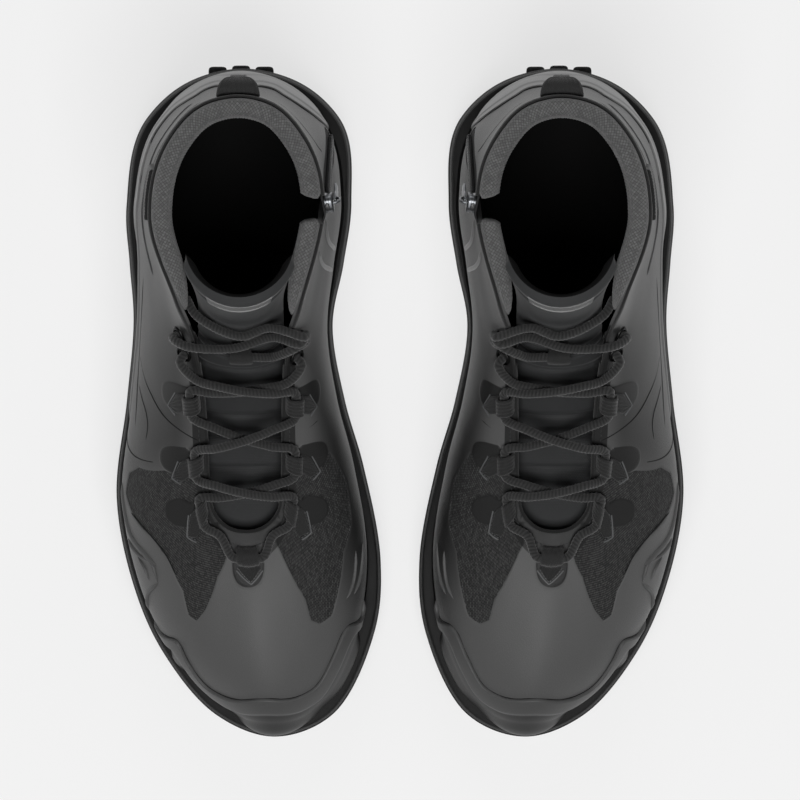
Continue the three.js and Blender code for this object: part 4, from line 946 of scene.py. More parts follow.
# Lines over the upper, as [column, height].
SEAMS = [
    [(5.55, 0.385), (5.19, 0.5), (4.73, 0.68), (4.37, 0.85), (4.09, 0.975)],
    [(5.15, 0.4), (4.97, 0.46), (4.78, 0.53), (4.6, 0.565), (4.42, 0.56)],
    [(4.75, 0.1), (4.6, 0.22), (4.35, 0.42), (4.09, 0.66)],
    [(4.35, 0.2), (4.1, 0.28), (3.8, 0.34), (3.5, 0.44), (3.13, 0.535), (2.7, 0.6), (2.3, 0.62)],
    [(-4.62, 0.685), (-4.38, 0.823), (-4.16, 0.93)],
    [(9.55, 0.83), (9.2, 0.83), (8.85, 0.79), (8.5, 0.7), (8.15, 0.63), (7.8, 0.6)],
    [(10.45, 0.83), (10.8, 0.82), (11.2, 0.74), (11.35, 0.66)],
]
# Black for the seam gaps, and also painted shade in the side groove and the eyelet holes.
seam_and_shade_black = surface("seam_gaps_and_painted_shade", "#070707", 0.9)
gap_noise = add(seam_and_shade_black, "TexNoise", {"Scale": 500.0})
link(seam_and_shade_black, add(seam_and_shade_black, "Mix", {
    "Factor": gap_noise.outputs["Fac"], 6: linear("#050505"), 7: linear("#0c0c0c")},
    data_type="RGBA").outputs[2], "Base Color")
boots("panel_seams", together([strip(line, 0.75, FILM - 0.1, FILM + 0.12) for line in SEAMS]),
      [seam_and_shade_black])
TOE_LINE = curve(below(TOE_EDGE), np.linspace(0, 1, 24))
boots("toe_cap_gap", strip(TOE_LINE, 0.7, FILM - 0.1, FILM + 0.15), [seam_and_shade_black])
COUNTER_LINE = edge_line[10:-10:12]
boots("counter_gap", strip(COUNTER_LINE, 1.1, FILM - 0.1, FILM + 0.3), [seam_and_shade_black])

# Painted shade: a wide dark strip low on the outer side stands for the shade of a soft groove, where the film
# is pressed into the padding.
GROOVE = [(7.1, 0.42), (6.6, 0.38), (6.1, 0.365), (5.5, 0.365), (5.0, 0.375), (4.65, 0.4)]
boots("side_groove_painted_shade", strip(GROOVE, 2.4, FILM - 0.15, FILM + 0.1, 14), [seam_and_shade_black])

# Moulded polyurethane ribs on the outer forefoot, and welded film strips up the ankle.
RIBS = [
    ([(4.15, 0.24), (3.85, 0.26), (3.5, 0.3), (3.09, 0.42), (2.75, 0.5)], 3.4),
    ([(3.49, 0.22), (3.1, 0.38), (2.9, 0.46), (2.57, 0.46)], 1.8),
    ([(2.57, 0.46), (2.66, 0.3), (2.55, 0.16)], 1.8),
    ([(3.2, 0.33), (2.95, 0.38), (2.75, 0.38)], 1.2),
    ([(-2.9, 0.408), (-2.5, 0.4), (-2.2, 0.43)], 1.6),
    ([(-3.1, 0.31), (-2.68, 0.325), (-2.35, 0.364)], 1.4),
]
boots("forefoot_ribs", together([strip(line, width, FILM - 0.2, FILM + 1.1, 5) for line, width in RIBS]),
      [moulded])
STRAPS = [
    ([(8.9, 0.37), (8.3, 0.31), (7.6, 0.27), (6.8, 0.24), (6.0, 0.22), (5.3, 0.2), (4.8, 0.17)], 4.2),
    ([(-7.81, 0.83), (-7.5, 0.58), (-7.3, 0.3)], 2.4),
    ([(-7.5, 0.87), (-7.2, 0.58), (-7.0, 0.3)], 2.4),
]
boots("ankle_straps", together([strip(line, width, FILM - 0.2, FILM + 0.9, 6) for line, width in STRAPS]),
      [counter_film])

# The braided tape set in the collar panel.
tape_line = [(9.45, 0.7), (9.0, 0.68), (8.6, 0.6), (8.2, 0.54), (7.8, 0.52), (7.4, 0.55), (7.05, 0.62)]
braid_tape = surface("braided_polyester_tape", "#2f3031", 0.8, Sheen_Weight=0.2)
tape_cells = add(braid_tape, "TexWave", {"Scale": 320.0, "Distortion": 1.5, "Detail": 2.0},
                 bands_direction="DIAGONAL")
link(braid_tape, add(braid_tape, "Mix", {
    "Factor": tape_cells.outputs["Fac"], 6: linear("#19191a"), 7: linear("#3d3e3f")},
    data_type="RGBA").outputs[2], "Base Color")
link(braid_tape, add(braid_tape, "Bump", {"Height": tape_cells.outputs["Fac"], "Strength": 0.6,
                                          "Distance": 0.0004}).outputs["Normal"], "Normal")
boots("collar_tape", strip(tape_line, 2.8, FILM - 0.1, FILM + 0.5), [braid_tape])


def resample(points, step):
    length = np.r_[0, np.cumsum(np.linalg.norm(np.diff(points, axis=0), axis=1))]
    marks = np.linspace(0, length[-1], max(4, int(length[-1] / step)))
    return np.stack([np.interp(marks, length, points[:, k]) for k in range(3)], -1), marks


def frames_along(points):
    """Two directions across a line at each of its points, turning as little as they can."""
    way = unit(np.gradient(points, axis=0))
    first = unit(np.cross(way[0], [0.3, 0.2, 1.0]))
    across = [first]
    for direction in way[1:]:
        turned = across[-1] - direction * (across[-1] @ direction)
        across.append(turned / np.linalg.norm(turned))
    across = np.array(across)
    return across, np.cross(way, across)


def round_cord(points, radius, step=1.0, sides=12, relief=0.0, pitch=1.6, strands=2):
    """A cord along a line. Relief raises slanted strands, pitch mm apart along it."""
    line, marks = resample(points, step)
    across, up = frames_along(line)
    angle = np.linspace(0, 2 * np.pi, sides + 1)[:-1]
    turn = 2 * np.pi * marks[:, None] / pitch
    braid = np.cos(strands * angle + turn)
    size = radius * (1 + relief * braid) * np.ones((len(line), sides))
    return tube(line[:, None] + (across[:, None] * np.cos(angle)[None, :, None]
                                 + up[:, None] * np.sin(angle)[None, :, None]) * size[..., None])


# Knit tape bound over the top line, in two runs that meet the zip.
zip_gap = 6.6
runs = [np.linspace(5.4, zip_edge(1.0, -1, zip_gap) + COLUMNS, 60),
        np.linspace(zip_edge(1.0, 1, zip_gap) + COLUMNS, 14.6, 30)]


def rim_tube(u, radius, lift, rise):
    """A round edge that follows the top line."""
    centre = on_upper(u, np.ones(len(u)), np.full(len(u), lift)) + np.array([0, 0, rise])
    return round_cord(centre, radius)


binding = surface("folded_knit_binding", "#131313", 0.85, Sheen_Weight=0.2)
rib_knit = add(binding, "TexNoise", {"Scale": 1100.0, "Detail": 2.0})
link(binding, add(binding, "Mix", {
    "Factor": rib_knit.outputs["Fac"], 6: linear("#0c0c0c"), 7: linear("#1a1a1a")},
    data_type="RGBA").outputs[2], "Base Color")
link(binding, add(binding, "Bump", {"Height": rib_knit.outputs["Fac"], "Strength": 0.4,
                                    "Distance": 0.0003}).outputs["Normal"], "Normal")
boots("top_line_binding", together([rim_tube(run, 0.8, -0.4, 0.1) for run in runs]), [binding])
throat_u = np.linspace(-5.5, 5.5, 160)
boots("throat_binding", rim_tube(throat_u, 1.35, -0.9, 0.0), [binding])


def stitches(points, out, pitch=2.4, length=1.7, radius=0.24):
    """A row of sewn stitches along a line: short rounded threads that dip in at both ends."""
    line, marks = resample(points, 0.2)
    known = np.linspace(0, marks[-1], len(out))
    outs = np.stack([np.interp(marks, known, out[:, k]) for k in range(3)], -1)
    way = unit(np.gradient(line, axis=0))
    parts = []
    bend = np.linspace(-1, 1, 6)
    angle = np.linspace(0, 2 * np.pi, 7)[:-1]
    for start in np.arange(pitch / 2, marks[-1], pitch):
        index = min(np.searchsorted(marks, start), len(line) - 1)
        along, up = way[index], unit(outs[index])
        side = np.cross(along, up)
        thick = radius * np.sqrt(1.05 - bend ** 2)
        core = line[index] + along * (bend * length / 2)[:, None] + up * (0.16 * (1 - bend ** 2))[:, None]
        ring = side * np.cos(angle)[:, None] + up * np.sin(angle)[:, None]
        parts.append(tube(core[:, None] + ring[None] * thick[:, None, None]))
    return together(parts)


thread = surface("bonded_nylon_thread", "#5a5b5c", 0.55)
ply = add(thread, "TexNoise", {"Scale": 2500.0})
link(thread, add(thread, "Mix", {"Factor": ply.outputs["Fac"], 6: linear("#4c4d4e"), 7: linear("#68696a")},
                 data_type="RGBA").outputs[2], "Base Color")
dark_thread = surface("dark_nylon_thread", "#262728", 0.6)
dark_ply = add(dark_thread, "TexNoise", {"Scale": 2500.0})
link(dark_thread, add(dark_thread, "Mix", {
    "Factor": dark_ply.outputs["Fac"], 6: linear("#1e1f20"), 7: linear("#2f3031")},
    data_type="RGBA").outputs[2], "Base Color")
throat_v = np.full(len(throat_u), 0.965)
throat_row = on_upper(throat_u, throat_v, np.full(len(throat_u), FILM + 0.05))
boots("throat_stitches", stitches(throat_row, facing(throat_u, throat_v)), [dark_thread])

# ---- Lace loops ----
# Strips of polyester webbing folded over the lace. Each tail is cut to a point, laid flat on the
# upper and sewn down, with a pale piped chevron at its tip.
LACE_RADIUS = 2.0
WEBBING = 1.1
LOOP_WIDTH = 9.0
LOOP_ROOM = LACE_RADIUS + 0.8
LOOP_LIFT = 0.35 + LOOP_ROOM + 0.4


def near_site(u, v, down, across, lift):
    """A place beside a site on the upper: mm down the wall, mm across it, mm off it."""
    tall = np.linalg.norm(face(u, 1.0) - face(u, v - 0.3)) / (1.3 - v)
    wide = column_width(u, v)
    down, across, lift = np.broadcast_arrays(*(np.asarray(k, float) for k in (down, across, lift)))
    return on_upper(u + across / wide, v - down / tall, lift)


def loop_webbing(u, tail):
    """A loop's strip: it starts at the point of the tail and ends inside, beside the throat."""
    arc = np.radians(np.linspace(8, 172, 22))
    radius = LOOP_ROOM + WEBBING / 2
    path = [(tail + 5.4, 1.15), (tail + 4, 1.2), (tail + 2.5, 1.2), (tail + 1, 1.2), (tail - 1, 1.2),
            (6.2, 1.2), (5.0, 1.35), (4.1, 1.8), (3.6, 2.6)]
    path += [(radius * np.cos(a), LOOP_LIFT + radius * np.sin(a)) for a in arc]
    path += [(-3.4, 2.4), (-3.3, 0.6)]
    path = np.array(path)
    dense, marks = resample(np.column_stack([path, np.zeros(len(path))]), 0.5)
    way = unit(np.gradient(dense, axis=0))
    normal = np.stack([way[:, 1], -way[:, 0]], -1)
    if normal[0, 1] < 0:
        normal = -normal
    half = np.minimum(LOOP_WIDTH / 2, 0.4 + marks * 0.95)
    z = np.linspace(-1, 1, 25)
    rib = 0.09 * np.cos(z * np.pi * 5)
    thin_edge = np.sqrt(np.clip((1 - np.abs(z)) / 0.1, 0.15, 1))
    layers = []
    for sign in (1, -1):
        offset = sign * (WEBBING / 2 * thin_edge + (rib if sign > 0 else 0))
        down = dense[:, 0:1] + normal[:, 0:1] * offset[None, :]
        lift = dense[:, 1:2] + normal[:, 1:2] * offset[None, :]
        layers.append(near_site(u, LOOP_V, down, z[None, :] * half[:, None], lift))
    weave = np.stack(np.broadcast_arrays(marks[:, None], z[None, :] * half[:, None]), -1).reshape(-1, 2)
    return plate(*layers), np.vstack([weave, weave])


def chevron(u, tail):
    """The piped point and its row of thread round the tip of a tail."""
    tip, leg = tail + 7.0, 4.6
    steps = np.linspace(-1, 1, 31)
    return near_site(u, LOOP_V, tip - np.abs(steps) * leg, steps * 5.2, FILM + 0.15)


webbing = surface("polyester_webbing", "#161617", 0.75, Sheen_Weight=0.2)
threads_at = add(webbing, "Attribute", attribute_name="weave").outputs["Vector"]
twill = add(webbing, "Mapping", {"Vector": threads_at, "Rotation": (0, 0, 0.5)}).outputs["Vector"]
warp = add(webbing, "TexBrick", {
    "Vector": twill, "Scale": 1.0, "Brick Width": 1.3, "Row Height": 0.65, "Mortar Size": 0.1,
    "Mortar Smooth": 0.8, "Color1": linear("#1c1c1c"), "Color2": linear("#141414"),
    "Mortar": linear("#060606")})
link(webbing, warp.outputs["Color"], "Base Color")
link(webbing, add(webbing, "Bump", {"Height": warp.outputs["Fac"], "Strength": 0.5, "Distance": 0.0003},
                  invert=True).outputs["Normal"], "Normal")
loop_sites = [(f"outer_loop_{k + 1}", u, 8) for k, u in enumerate(LOOP_U)]
loop_sites += [(f"inner_loop_{k + 1}", -u, 8) for k, u in enumerate(LOOP_U)]
loop_sites.append(("toe_loop", 0.0, 5.2))
chevrons, rows = [], []
for node, u, tail in loop_sites:
    shape, weave_map = loop_webbing(u, tail)
    boots(f"{node}_webbing", shape, [webbing], stands_for=(node,), weave=weave_map)
    line = chevron(u, tail)
    chevrons.append(round_cord(line, 0.38, 0.6, 8))
    inner = line + unit(face(u, LOOP_V) - line) * 1.3
    out = facing(u, LOOP_V - 0.08)
    rows.append(stitches(inner + out * 0.9, np.repeat(out[None], len(line), 0), 1.5, 1.1, 0.17))
boots("loop_chevrons", together(chevrons), [thread])
boots("loop_stitches", together(rows), [thread])

# ---- Lace ----
# One round braided polyester cord, 4 mm thick. It is held all the way: through the toe loop, up
# through the side loops, through the eyelets and out of the slots above them.
EYELET, SLOT = (5.68, 0.915), (6.02, 0.9)
KEEPER_S = 0.575


def side_u(u, side):
    return u if side > 0 else -u


def site(u, v, lift):
    """Middle, way along the throat towards the heel, and outward direction of a lace site."""
    way = unit(face(u + 0.05, v) - face(u - 0.05, v)) * (1 if u >= 0 else -1)
    return on_upper(u, v, lift), way, facing(u, v)


def through_loop(place):
    middle, way, _ = place
    return [middle + way * share * LOOP_WIDTH for share in (-0.75, 0, 0.75)]


def over_throat(start, stop, lift):
    """Three points of the lace between two loops: it arches over the tongue and sags to the toe."""
    points = []
    for share in (0.22, 0.5, 0.78):
        arch = 1 - (2 * share - 1) ** 2
        points.append(start + (stop - start) * share + np.array([0, -2.4 * arch, lift * (0.4 + 0.6 * arch)]))
    return points


def through_eyelet(side):
    def point(place, lift, ahead):
        u, v = side_u(place[0], side), place[1]
        return on_upper(u, v, lift) + site(u, v, 0)[1] * ahead

    def over_edge(u, lift):
        return on_upper(side_u(u, side), 1.0, lift)

    between = ((EYELET[0] + SLOT[0]) / 2, (EYELET[1] + SLOT[1]) / 2)
    outside, wall_back, within = LACE_RADIUS + 2, -3.4, -3 - LACE_RADIUS - 1.4
    return [over_edge(EYELET[0] - 0.42, LACE_RADIUS + 1.4), point(EYELET, outside, -2.8),
            point(EYELET, 0, -0.4), point(EYELET, wall_back, 0.3), point(between, within, 0),
            point(SLOT, wall_back, -0.3), point(SLOT, 0, 0.4), point(SLOT, outside, 1.2),
            over_edge(SLOT[0] - 0.03, LACE_RADIUS + 2.2)]


def lace_half(side, lift):
    points = [on_upper(side_u(1.3, side), 0.97, LOOP_LIFT + 0.3)]
    here = side
    for k, u in enumerate(LOOP_U):
        in_loop = through_loop(site(side_u(u, here), LOOP_V, LOOP_LIFT))
        if k + 1 < len(LOOP_U):
            ahead = through_loop(site(side_u(LOOP_U[k + 1], -here), LOOP_V, LOOP_LIFT))
        else:
            ahead = through_eyelet(-here)
        points += in_loop + over_throat(in_loop[2], ahead[0], lift)
        here = -here
    return points + through_eyelet(here)


def on_tongue(s, a):
    return tongue_at(s, a, LACE_RADIUS + 2.7)


def turn_at(u, v, lift):
    return on_upper(-u, v, lift)


keeper = tongue_at(KEEPER_S, 0, LOOP_LIFT + 0.2)
lace_route = [on_tongue(0.735, 0.85), on_tongue(0.725, 0.6), on_tongue(0.71, 0), on_tongue(0.71, -0.4),
              turn_at(6.38, 1.0, LACE_RADIUS + 4.2), turn_at(6.3, 0.94, LACE_RADIUS + 3),
              turn_at(6.18, 1.0, LACE_RADIUS + 4), on_tongue(0.645, -0.45), on_tongue(0.63, 0.1)]
lace_route += lace_half(-1, 6.2)[::-1]
lace_route += through_loop(site(0.0, LOOP_V, LOOP_LIFT))
lace_route += lace_half(1, 1.2)
lace_route += [keeper + np.array([shift, 0, 0]) for shift in (-14, -5, 0, 4.6)]
lace_line = curve(np.array(lace_route), np.linspace(0, 1, 2600))
lace_cord = surface("braided_polyester_cord", "#2e2e2e", 0.75, Sheen_Weight=0.3)
strand_mask_for_gap_shade = add(lace_cord, "Attribute", attribute_name="strand_vs_gap_shade").outputs["Fac"]
fleck = add(lace_cord, "TexNoise", {"Scale": 1600.0, "Detail": 3.0})
yarn = add(lace_cord, "Mix", {"Factor": fleck.outputs["Fac"], 6: linear("#202020"), 7: linear("#333333")},
           data_type="RGBA").outputs[2]
# Painted shade: the hollows between the braid's strands are coloured near black (#0c0c0c).
link(lace_cord, add(lace_cord, "Mix", {"Factor": strand_mask_for_gap_shade, 6: linear("#0c0c0c"), 7: yarn},
                    data_type="RGBA").outputs[2], "Base Color")
link(lace_cord, add(lace_cord, "Bump", {"Height": fleck.outputs["Fac"], "Strength": 0.4,
                                        "Distance": 0.0003}).outputs["Normal"], "Normal")
LACE_SIDES = 18
lace_mesh = round_cord(lace_line, LACE_RADIUS, 0.33, LACE_SIDES, 0.06)
lace_rings = lace_mesh[0][:-2].reshape(-1, LACE_SIDES, 3)
# How far the surface stands out: below the cord's radius, between strands, its colour gets the painted shade.
from_core = np.linalg.norm(lace_rings - lace_rings.mean(axis=1, keepdims=True), axis=-1) / LACE_RADIUS
boots("lace_cord", lace_mesh, [lace_cord], stands_for=("lace",), crease=70,
      masks={"strand_vs_gap_shade": np.r_[ramp(from_core, 0.955, 1.045).ravel(), 0, 0]})

# ---- Keeper and label ----
# The keeper is a short webbing bridge sewn on the tongue, which the lace runs under. The label is a
# plain moulded badge near the tongue's top edge.
tongue_length = tongue_up[-1, 0] / 0.98
ACROSS_MM = 27.0  # about half the tongue's width up there, measured round its curve


def on_tongue_face(up, across, lift):
    up, across, lift = np.broadcast_arrays(*(np.asarray(k, float) for k in (up, across, lift)))
    return tongue_at(KEEPER_S + up / tongue_length, across / ACROSS_MM, lift)


arc = np.radians(np.linspace(172, 8, 20))
bridge = [(-7.2, 0.7), (-5.6, 0.75), (-4.3, 1.2), (-3.7, 2.2)]
bridge += [(3.4 * np.cos(a), LOOP_LIFT + 0.1 + 3.2 * np.sin(a)) for a in arc]
bridge += [(3.7, 2.2), (4.3, 1.2), (5.6, 0.75), (7.2, 0.7)]
dense, marks = resample(np.column_stack([np.array(bridge), np.zeros(len(bridge))]), 0.5)
way = unit(np.gradient(dense, axis=0))
normal = np.stack([-way[:, 1], way[:, 0]], -1)
z = np.linspace(-1, 1, 17)
thin_edge = np.sqrt(np.clip((1 - np.abs(z)) / 0.12, 0.15, 1))
layers = [on_tongue_face(dense[:, 0:1] + normal[:, 0:1] * sign * 0.5 * thin_edge, z[None, :] * 3.9,
                         dense[:, 1:2] + normal[:, 1:2] * sign * 0.5 * thin_edge) for sign in (1, -1)]
weave_map = np.stack(np.broadcast_arrays(marks[:, None], z[None, :] * 3.9), -1).reshape(-1, 2)
boots("keeper_webbing", plate(*layers), [webbing], stands_for=("lace_keeper",),
      weave=np.vstack([weave_map, weave_map]))

LABEL_LOW, LABEL_HIGH, LABEL_HALF = 0.872, 0.958, 0.44
label_s = np.linspace(LABEL_LOW, LABEL_HIGH, 40)[:, None]
label_a = np.linspace(-LABEL_HALF, LABEL_HALF, 120)[None, :]
bow = 0.010 * (1 - (label_a / LABEL_HALF) ** 2)
from_edge = np.minimum(np.minimum(label_s - LABEL_LOW, LABEL_HIGH - label_s) * tongue_length,
                       (LABEL_HALF - np.abs(label_a)) * ACROSS_MM)
raised_rim = ramp(from_edge, 0.2, 0.7) * (1 - ramp(from_edge, 1.3, 1.8))
label_height = 0.35 + 0.55 * ramp(from_edge, 0, 0.5) + 0.35 * raised_rim
ribs = 0.13 * ramp(from_edge, 2.2, 2.6) * np.maximum(np.cos(label_a * ACROSS_MM * 2 * np.pi / 2.2), 0)
label_front = tongue_at(label_s - bow, label_a, label_height + ribs)
label_back = tongue_at(label_s - bow, label_a, 0.1)
badge = surface("moulded_badge", "#6c6c6c", 0.4)
badge_grain = add(badge, "TexNoise", {"Scale": 700.0})
link(badge, add(badge, "Mix", {
    "Factor": badge_grain.outputs["Fac"], 6: linear("#606060"), 7: linear("#787878")},
    data_type="RGBA").outputs[2], "Base Color")
boots("tongue_badge", plate(label_front, label_back), [badge], stands_for=("tongue_label",))

# ---- Eyelets ----
# Pressed rings of blackened brass round the lace holes at the ankle: round below, long above.
eyelet_metal = surface("blackened_brass", "#2a2a2a", 0.35, Metallic=1.0)
worn = add(eyelet_metal, "TexNoise", {"Scale": 600.0})
link(eyelet_metal, add(eyelet_metal, "MapRange", {
    "Value": worn.outputs["Fac"], "To Min": 0.25, "To Max": 0.5}).outputs["Result"], "Roughness")
rings_made, holes = [], []
turn = np.linspace(0, 2 * np.pi, 49)
for sign in (1, -1):
    for place, long, wide in ((EYELET, 3.6, 3.4), (SLOT, 4.6, 2.9)):
        middle, way, out = site(place[0] * sign, place[1], FILM + 0.35)
        across = np.cross(out, way)
        ring = middle + np.cos(turn)[:, None] * way * long + np.sin(turn)[:, None] * across * wide
        rings_made.append(round_cord(ring, 0.75, 0.5, 10))
        # Painted shade: a black disc inside each ring stands for the dark of the open hole.
        disc = [middle + (np.cos(turn)[:, None] * way * long + np.sin(turn)[:, None] * across * wide) * k
                + out * h for k, h in ((0.02, -0.25), (1.0, -0.25), (1.0, -0.6), (0.02, -0.6))]
        holes.append(tube(np.stack([row[:-1] for row in disc])))
boots("eyelet_rings", together(rings_made), [eyelet_metal])
boots("eyelet_hole_painted_shade", together(holes), [seam_and_shade_black])

# ---- Pull tab and side flag ----
# The pull tab is webbing sewn into the top of the heel and again lower down on the counter, so a
# finger fits behind it. The flag is a short folded strip sewn under the collar's outer edge.
heel_x = float(rail(4, HEEL)[0])
TAB_HALF = 9.75  # half the tab's width below its rounded top
# The tab's middle line, as [y, height].
tab_path = np.array([[136.0, 146.5], [138.6, 148.4], [141.4, 148.3], [143.4, 146.0], [144.4, 141.5],
                     [144.8, 134], [144.9, 124], [144.6, 114], [144.4, 106], [145.4, 98]])
tab_line = curve(np.column_stack([tab_path, np.zeros(len(tab_path))]), np.linspace(0, 1, 120))
way = unit(np.gradient(tab_line, axis=0))
tab_normal = np.stack([-way[:, 1], way[:, 0]], -1)
tab_normal *= np.sign(tab_normal[:1, 1:2] + 1e-9)
tab_marks = np.r_[0, np.cumsum(np.linalg.norm(np.diff(tab_line, axis=0), axis=1))]
tab_half = 3.6 + (TAB_HALF - 3.6) * np.sqrt(np.clip(1 - (tab_marks / 10.2) ** 2, 0, 1))
z = np.linspace(-1, 1, 41)
thin_edge = np.sqrt(np.clip((1 - np.abs(z)) / 0.08, 0.15, 1))
tab_ribs = 0.1 * np.cos(z * np.pi * 9)
layers = []
for sign in (1, -1):
    off = sign * 0.9 * thin_edge + (tab_ribs if sign > 0 else 0)
    y = tab_line[:, 0:1] + tab_normal[:, 0:1] * off[None, :]
    high = tab_line[:, 1:2] + tab_normal[:, 1:2] * off[None, :]
    layers.append(np.stack([heel_x + z[None, :] * tab_half[:, None] + 0 * y, y, high], -1))
weave_map = np.stack([tab_marks[:, None] + 0 * z, z * tab_half[:, None]], -1).reshape(-1, 2)
boots("pull_tab_webbing", plate(*layers), [webbing], stands_for=("pull_tab",),
      weave=np.vstack([weave_map, weave_map]))

FLAG_U, FLAG_V = (7.93, 8.57), (0.69, 0.94)
COLUMN_MM, WALL_MM = 34, 120  # width of a column there, and height of the wall
flag_u, flag_v = np.meshgrid(np.linspace(*FLAG_U, 60), np.linspace(*FLAG_V, 36), indexing="ij")
from_side = np.minimum(flag_u - FLAG_U[0], FLAG_U[1] - flag_u) * COLUMN_MM
from_end = np.minimum(flag_v - FLAG_V[0], FLAG_V[1] - flag_v) * WALL_MM
flag_edge = np.minimum(from_side, from_end)
flag_ribs = 0.1 * np.cos(flag_u * COLUMN_MM * 2 * np.pi / 1.4)
flag_lift = FILM + 0.2 + 1.5 * np.sqrt(np.clip(flag_edge / 0.8, 0, 1)) + flag_ribs
flag_weave = np.stack([flag_u * COLUMN_MM, flag_v * WALL_MM], -1).reshape(-1, 2)
boots("side_flag", plate(on_upper(flag_u, flag_v, flag_lift),
                         on_upper(flag_u, flag_v, np.full(flag_lift.shape, 0.3))),
      [webbing], stands_for=("side_tab",), weave=np.vstack([flag_weave, flag_weave]))

# ---- Zip ----
# A moulded tooth zip on woven tape, sewn into the slot in the inner ankle. The slider and its pull
# are cast zinc with a gunmetal finish.

# The frame's joints give the way that the slider runs, and the line that the pull swings about. At
# rest the slider stands SLIDER_START below the zip's top.
joints = {joint["name"]: joint for joint in frame["joints"]}
ZIP_DOWN = np.array(joints["left_zip"]["axis"])
ZIP_ACROSS = np.array(joints["left_zip_pull"]["axis"])
ZIP_OUT = np.cross(ZIP_ACROSS, ZIP_DOWN)
SLIDER_START = 1.0
PIVOT_DOWN, PIVOT_OUT = SLIDER_START + 4.55, 4.75
pivot = np.array(joints["left_zip_pull"]["pos_m"]) * 1000
ZIP_ORIGIN = pivot - ZIP_DOWN * PIVOT_DOWN - ZIP_OUT * PIVOT_OUT
ZIP_LENGTH = 85.25
TAPE_HALF = 7.6


def zip_point(across, down, out):
    across, down, out = np.broadcast_arrays(*(np.asarray(k, float) for k in (across, down, out)))
    return (ZIP_ORIGIN + across[..., None] * ZIP_ACROSS + down[..., None] * ZIP_DOWN
            + out[..., None] * ZIP_OUT)


tape_down = np.linspace(-0.5, ZIP_LENGTH, 150)[:, None]
tape_across = np.linspace(-1, 1, 41)[None, :]
tape_v = 1 - 0.75 * np.clip(tape_down / ZIP_LENGTH, 0, 1)
flat = zip_point(tape_across * TAPE_HALF, tape_down, -0.1)
heel_edge, toe_edge = (on_upper(zip_edge(tape_v, side, TAPE_HALF), tape_v, np.full(tape_v.shape, -0.7))
                       for side in (-1, 1))
share = ramp(tape_across, -1, 1)[..., None]
sewn = toe_edge * (1 - share) + heel_edge * share
towards_edge = ramp(np.abs(tape_across), 0.42, 0.95)[..., None]
tape_front = flat * (1 - towards_edge) + sewn * towards_edge
tape_weave = np.stack(np.broadcast_arrays(tape_across * TAPE_HALF, tape_down), -1).reshape(-1, 2)
zip_tape = surface("woven_zip_tape", "#1a1a1b", 0.85)
tape_threads = add(zip_tape, "Attribute", attribute_name="weave").outputs["Vector"]
herringbone = add(zip_tape, "TexBrick", {
    "Vector": tape_threads, "Scale": 1.0, "Brick Width": 1.4, "Row Height": 0.7, "Mortar Size": 0.1,
    "Mortar Smooth": 0.7, "Color1": linear("#202021"), "Color2": linear("#19191a"),
    "Mortar": linear("#0b0b0b")})
link(zip_tape, herringbone.outputs["Color"], "Base Color")
link(zip_tape, add(zip_tape, "Bump", {"Height": herringbone.outputs["Fac"], "Strength": 0.4,
                                      "Distance": 0.0003}, invert=True).outputs["Normal"], "Normal")
boots("zip_tape", plate(tape_front, tape_front - ZIP_OUT * 0.8), [zip_tape],
      weave=np.vstack([tape_weave, tape_weave]))

turn = np.linspace(0, 2 * np.pi, 13)[:-1]
tooth_across, tooth_along = squared(turn, 0.5)
TOOTH_PITCH = 0.95
teeth = []
for number, down in enumerate(np.arange(1.0, ZIP_LENGTH - 1, TOOTH_PITCH)):
    side = 1 if number % 2 else -1
    rings = [zip_point(side * 0.7 + tooth_across * 1.75 * size, down + tooth_along * 0.42 * size, 0.1 + high)
             for size, high in ((0.8, 0.0), (1.0, 0.25), (1.0, 1.5), (0.75, 1.85))]
    teeth.append(tube(np.stack(rings)))
acetal = surface("moulded_acetal", "#1f1f20", 0.4)
tooth_grain = add(acetal, "TexNoise", {"Scale": 900.0})
link(acetal, add(acetal, "Mix", {
    "Factor": tooth_grain.outputs["Fac"], 6: linear("#191919"), 7: linear("#28282a")},
    data_type="RGBA").outputs[2], "Base Color")
boots("zip_teeth", together(teeth), [acetal], stands_for=("zip_chain",))

gunmetal = surface("gunmetal_cast_zinc", "#6b6d70", 0.32, Metallic=1.0)
tarnish = add(gunmetal, "TexNoise", {"Scale": 350.0, "Detail": 4.0})
link(gunmetal, add(gunmetal, "Mix", {
    "Factor": tarnish.outputs["Fac"], 6: linear("#4d4f52"), 7: linear("#8b8d90")},
    data_type="RGBA").outputs[2], "Base Color")
link(gunmetal, add(gunmetal, "MapRange", {"Value": tarnish.outputs["Fac"], "To Min": 0.22, "To Max": 0.45})
     .outputs["Result"], "Roughness")
turn = np.linspace(0, 2 * np.pi, 65)[:-1]
SLIDER_HALF = 5.5  # half the body's length
middle_down = SLIDER_START + SLIDER_HALF
round_down, round_across = squared(turn, 0.55)
body_down = middle_down - SLIDER_HALF * round_down
body_half = 3.0 + 1.5 * np.exp(-((body_down - SLIDER_START - 2.4) / 2.8) ** 2)
body_across = round_across * body_half
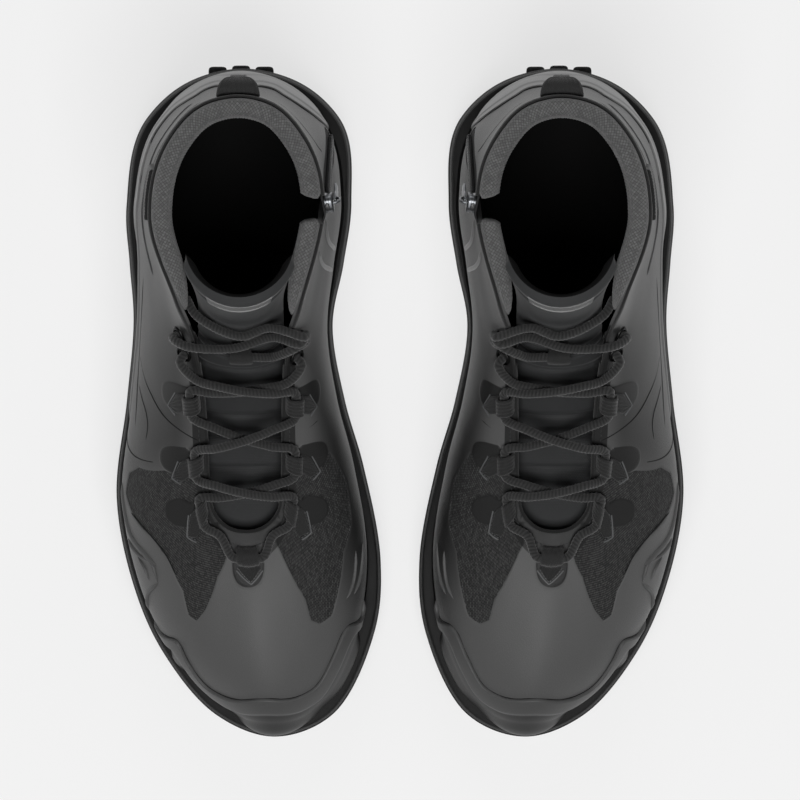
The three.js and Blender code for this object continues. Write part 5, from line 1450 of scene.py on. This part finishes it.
# The body's layers: share of its outline, and height over the zip. Its waist is in the middle.
levels = [(0.85, -0.9), (0.97, -0.7), (1.0, -0.3), (1.0, 0.7), (0.93, 0.9), (0.93, 1.9), (1.0, 2.1),
          (1.0, 3.1), (0.97, 3.45), (0.86, 3.65)]
body_rings = np.stack([zip_point(body_across * size, middle_down + (body_down - middle_down) * size, out)
                       for size, out in levels])
bail_path = np.array([[2.5, 3.2], [2.5, 4.6], [2.9, 5.9], [4.2, 6.5],
                      [6.2, 6.5], [7.6, 5.9], [8.0, 4.6], [8.0, 3.2]])
bail_line = curve(np.column_stack([bail_path, np.zeros(len(bail_path))]), np.linspace(0, 1, 60))
bail = round_cord(zip_point(np.zeros(60), SLIDER_START + bail_line[:, 0], bail_line[:, 1]), 0.62, 0.4, 12)
boots("zip_slider_cast", together([tube(body_rings), bail]), [gunmetal], body="slider_body",
      stands_for=("zip_slider",), crease=50)

turn = np.linspace(0, 2 * np.pi, 97)[:-1]
round_down, round_across = squared(turn, 0.6)
outer_down = 8.4 - 9.0 * round_down
outer_half = 2.65 - 0.75 * np.exp(-((outer_down - 7.5) / 2.6) ** 2) + 0.2 * ramp(outer_down, 11, 15)
hole_down = 2.1 - 1.75 * round_down
grip = 0.12 * np.cos(outer_down * 2 * np.pi / 1.6) * ramp(outer_down, 10, 11)


def pull_ring(down, half, inwards, out):
    centre = down.mean()
    return zip_point(half * (1 - inwards / 2.6), PIVOT_DOWN + centre + (down - centre) * (1 - inwards / 9),
                     PIVOT_OUT + out)


outer_across = round_across * outer_half
hole_across = round_across * 1.15
rings = [pull_ring(hole_down, hole_across, 0, -0.5), pull_ring(outer_down, outer_across, 0.35, -0.55),
         pull_ring(outer_down, outer_across, 0, -0.25), pull_ring(outer_down, outer_across, 0, 0.25),
         pull_ring(outer_down, outer_across, 0.35, 0.55 + grip), pull_ring(hole_down, hole_across, 0, 0.5)]
count = len(turn)
around = grid_faces(len(rings), count, closed=True)
j = np.arange(count)
k = (j + 1) % count
last = (len(rings) - 1) * count
closing = np.stack([j + last, j, k, k + last], -1)
boots("zip_pull_cast", (np.vstack(rings), np.vstack([around, closing])), [gunmetal],
      body="pull_body", stands_for=("zip_pull",), crease=50)
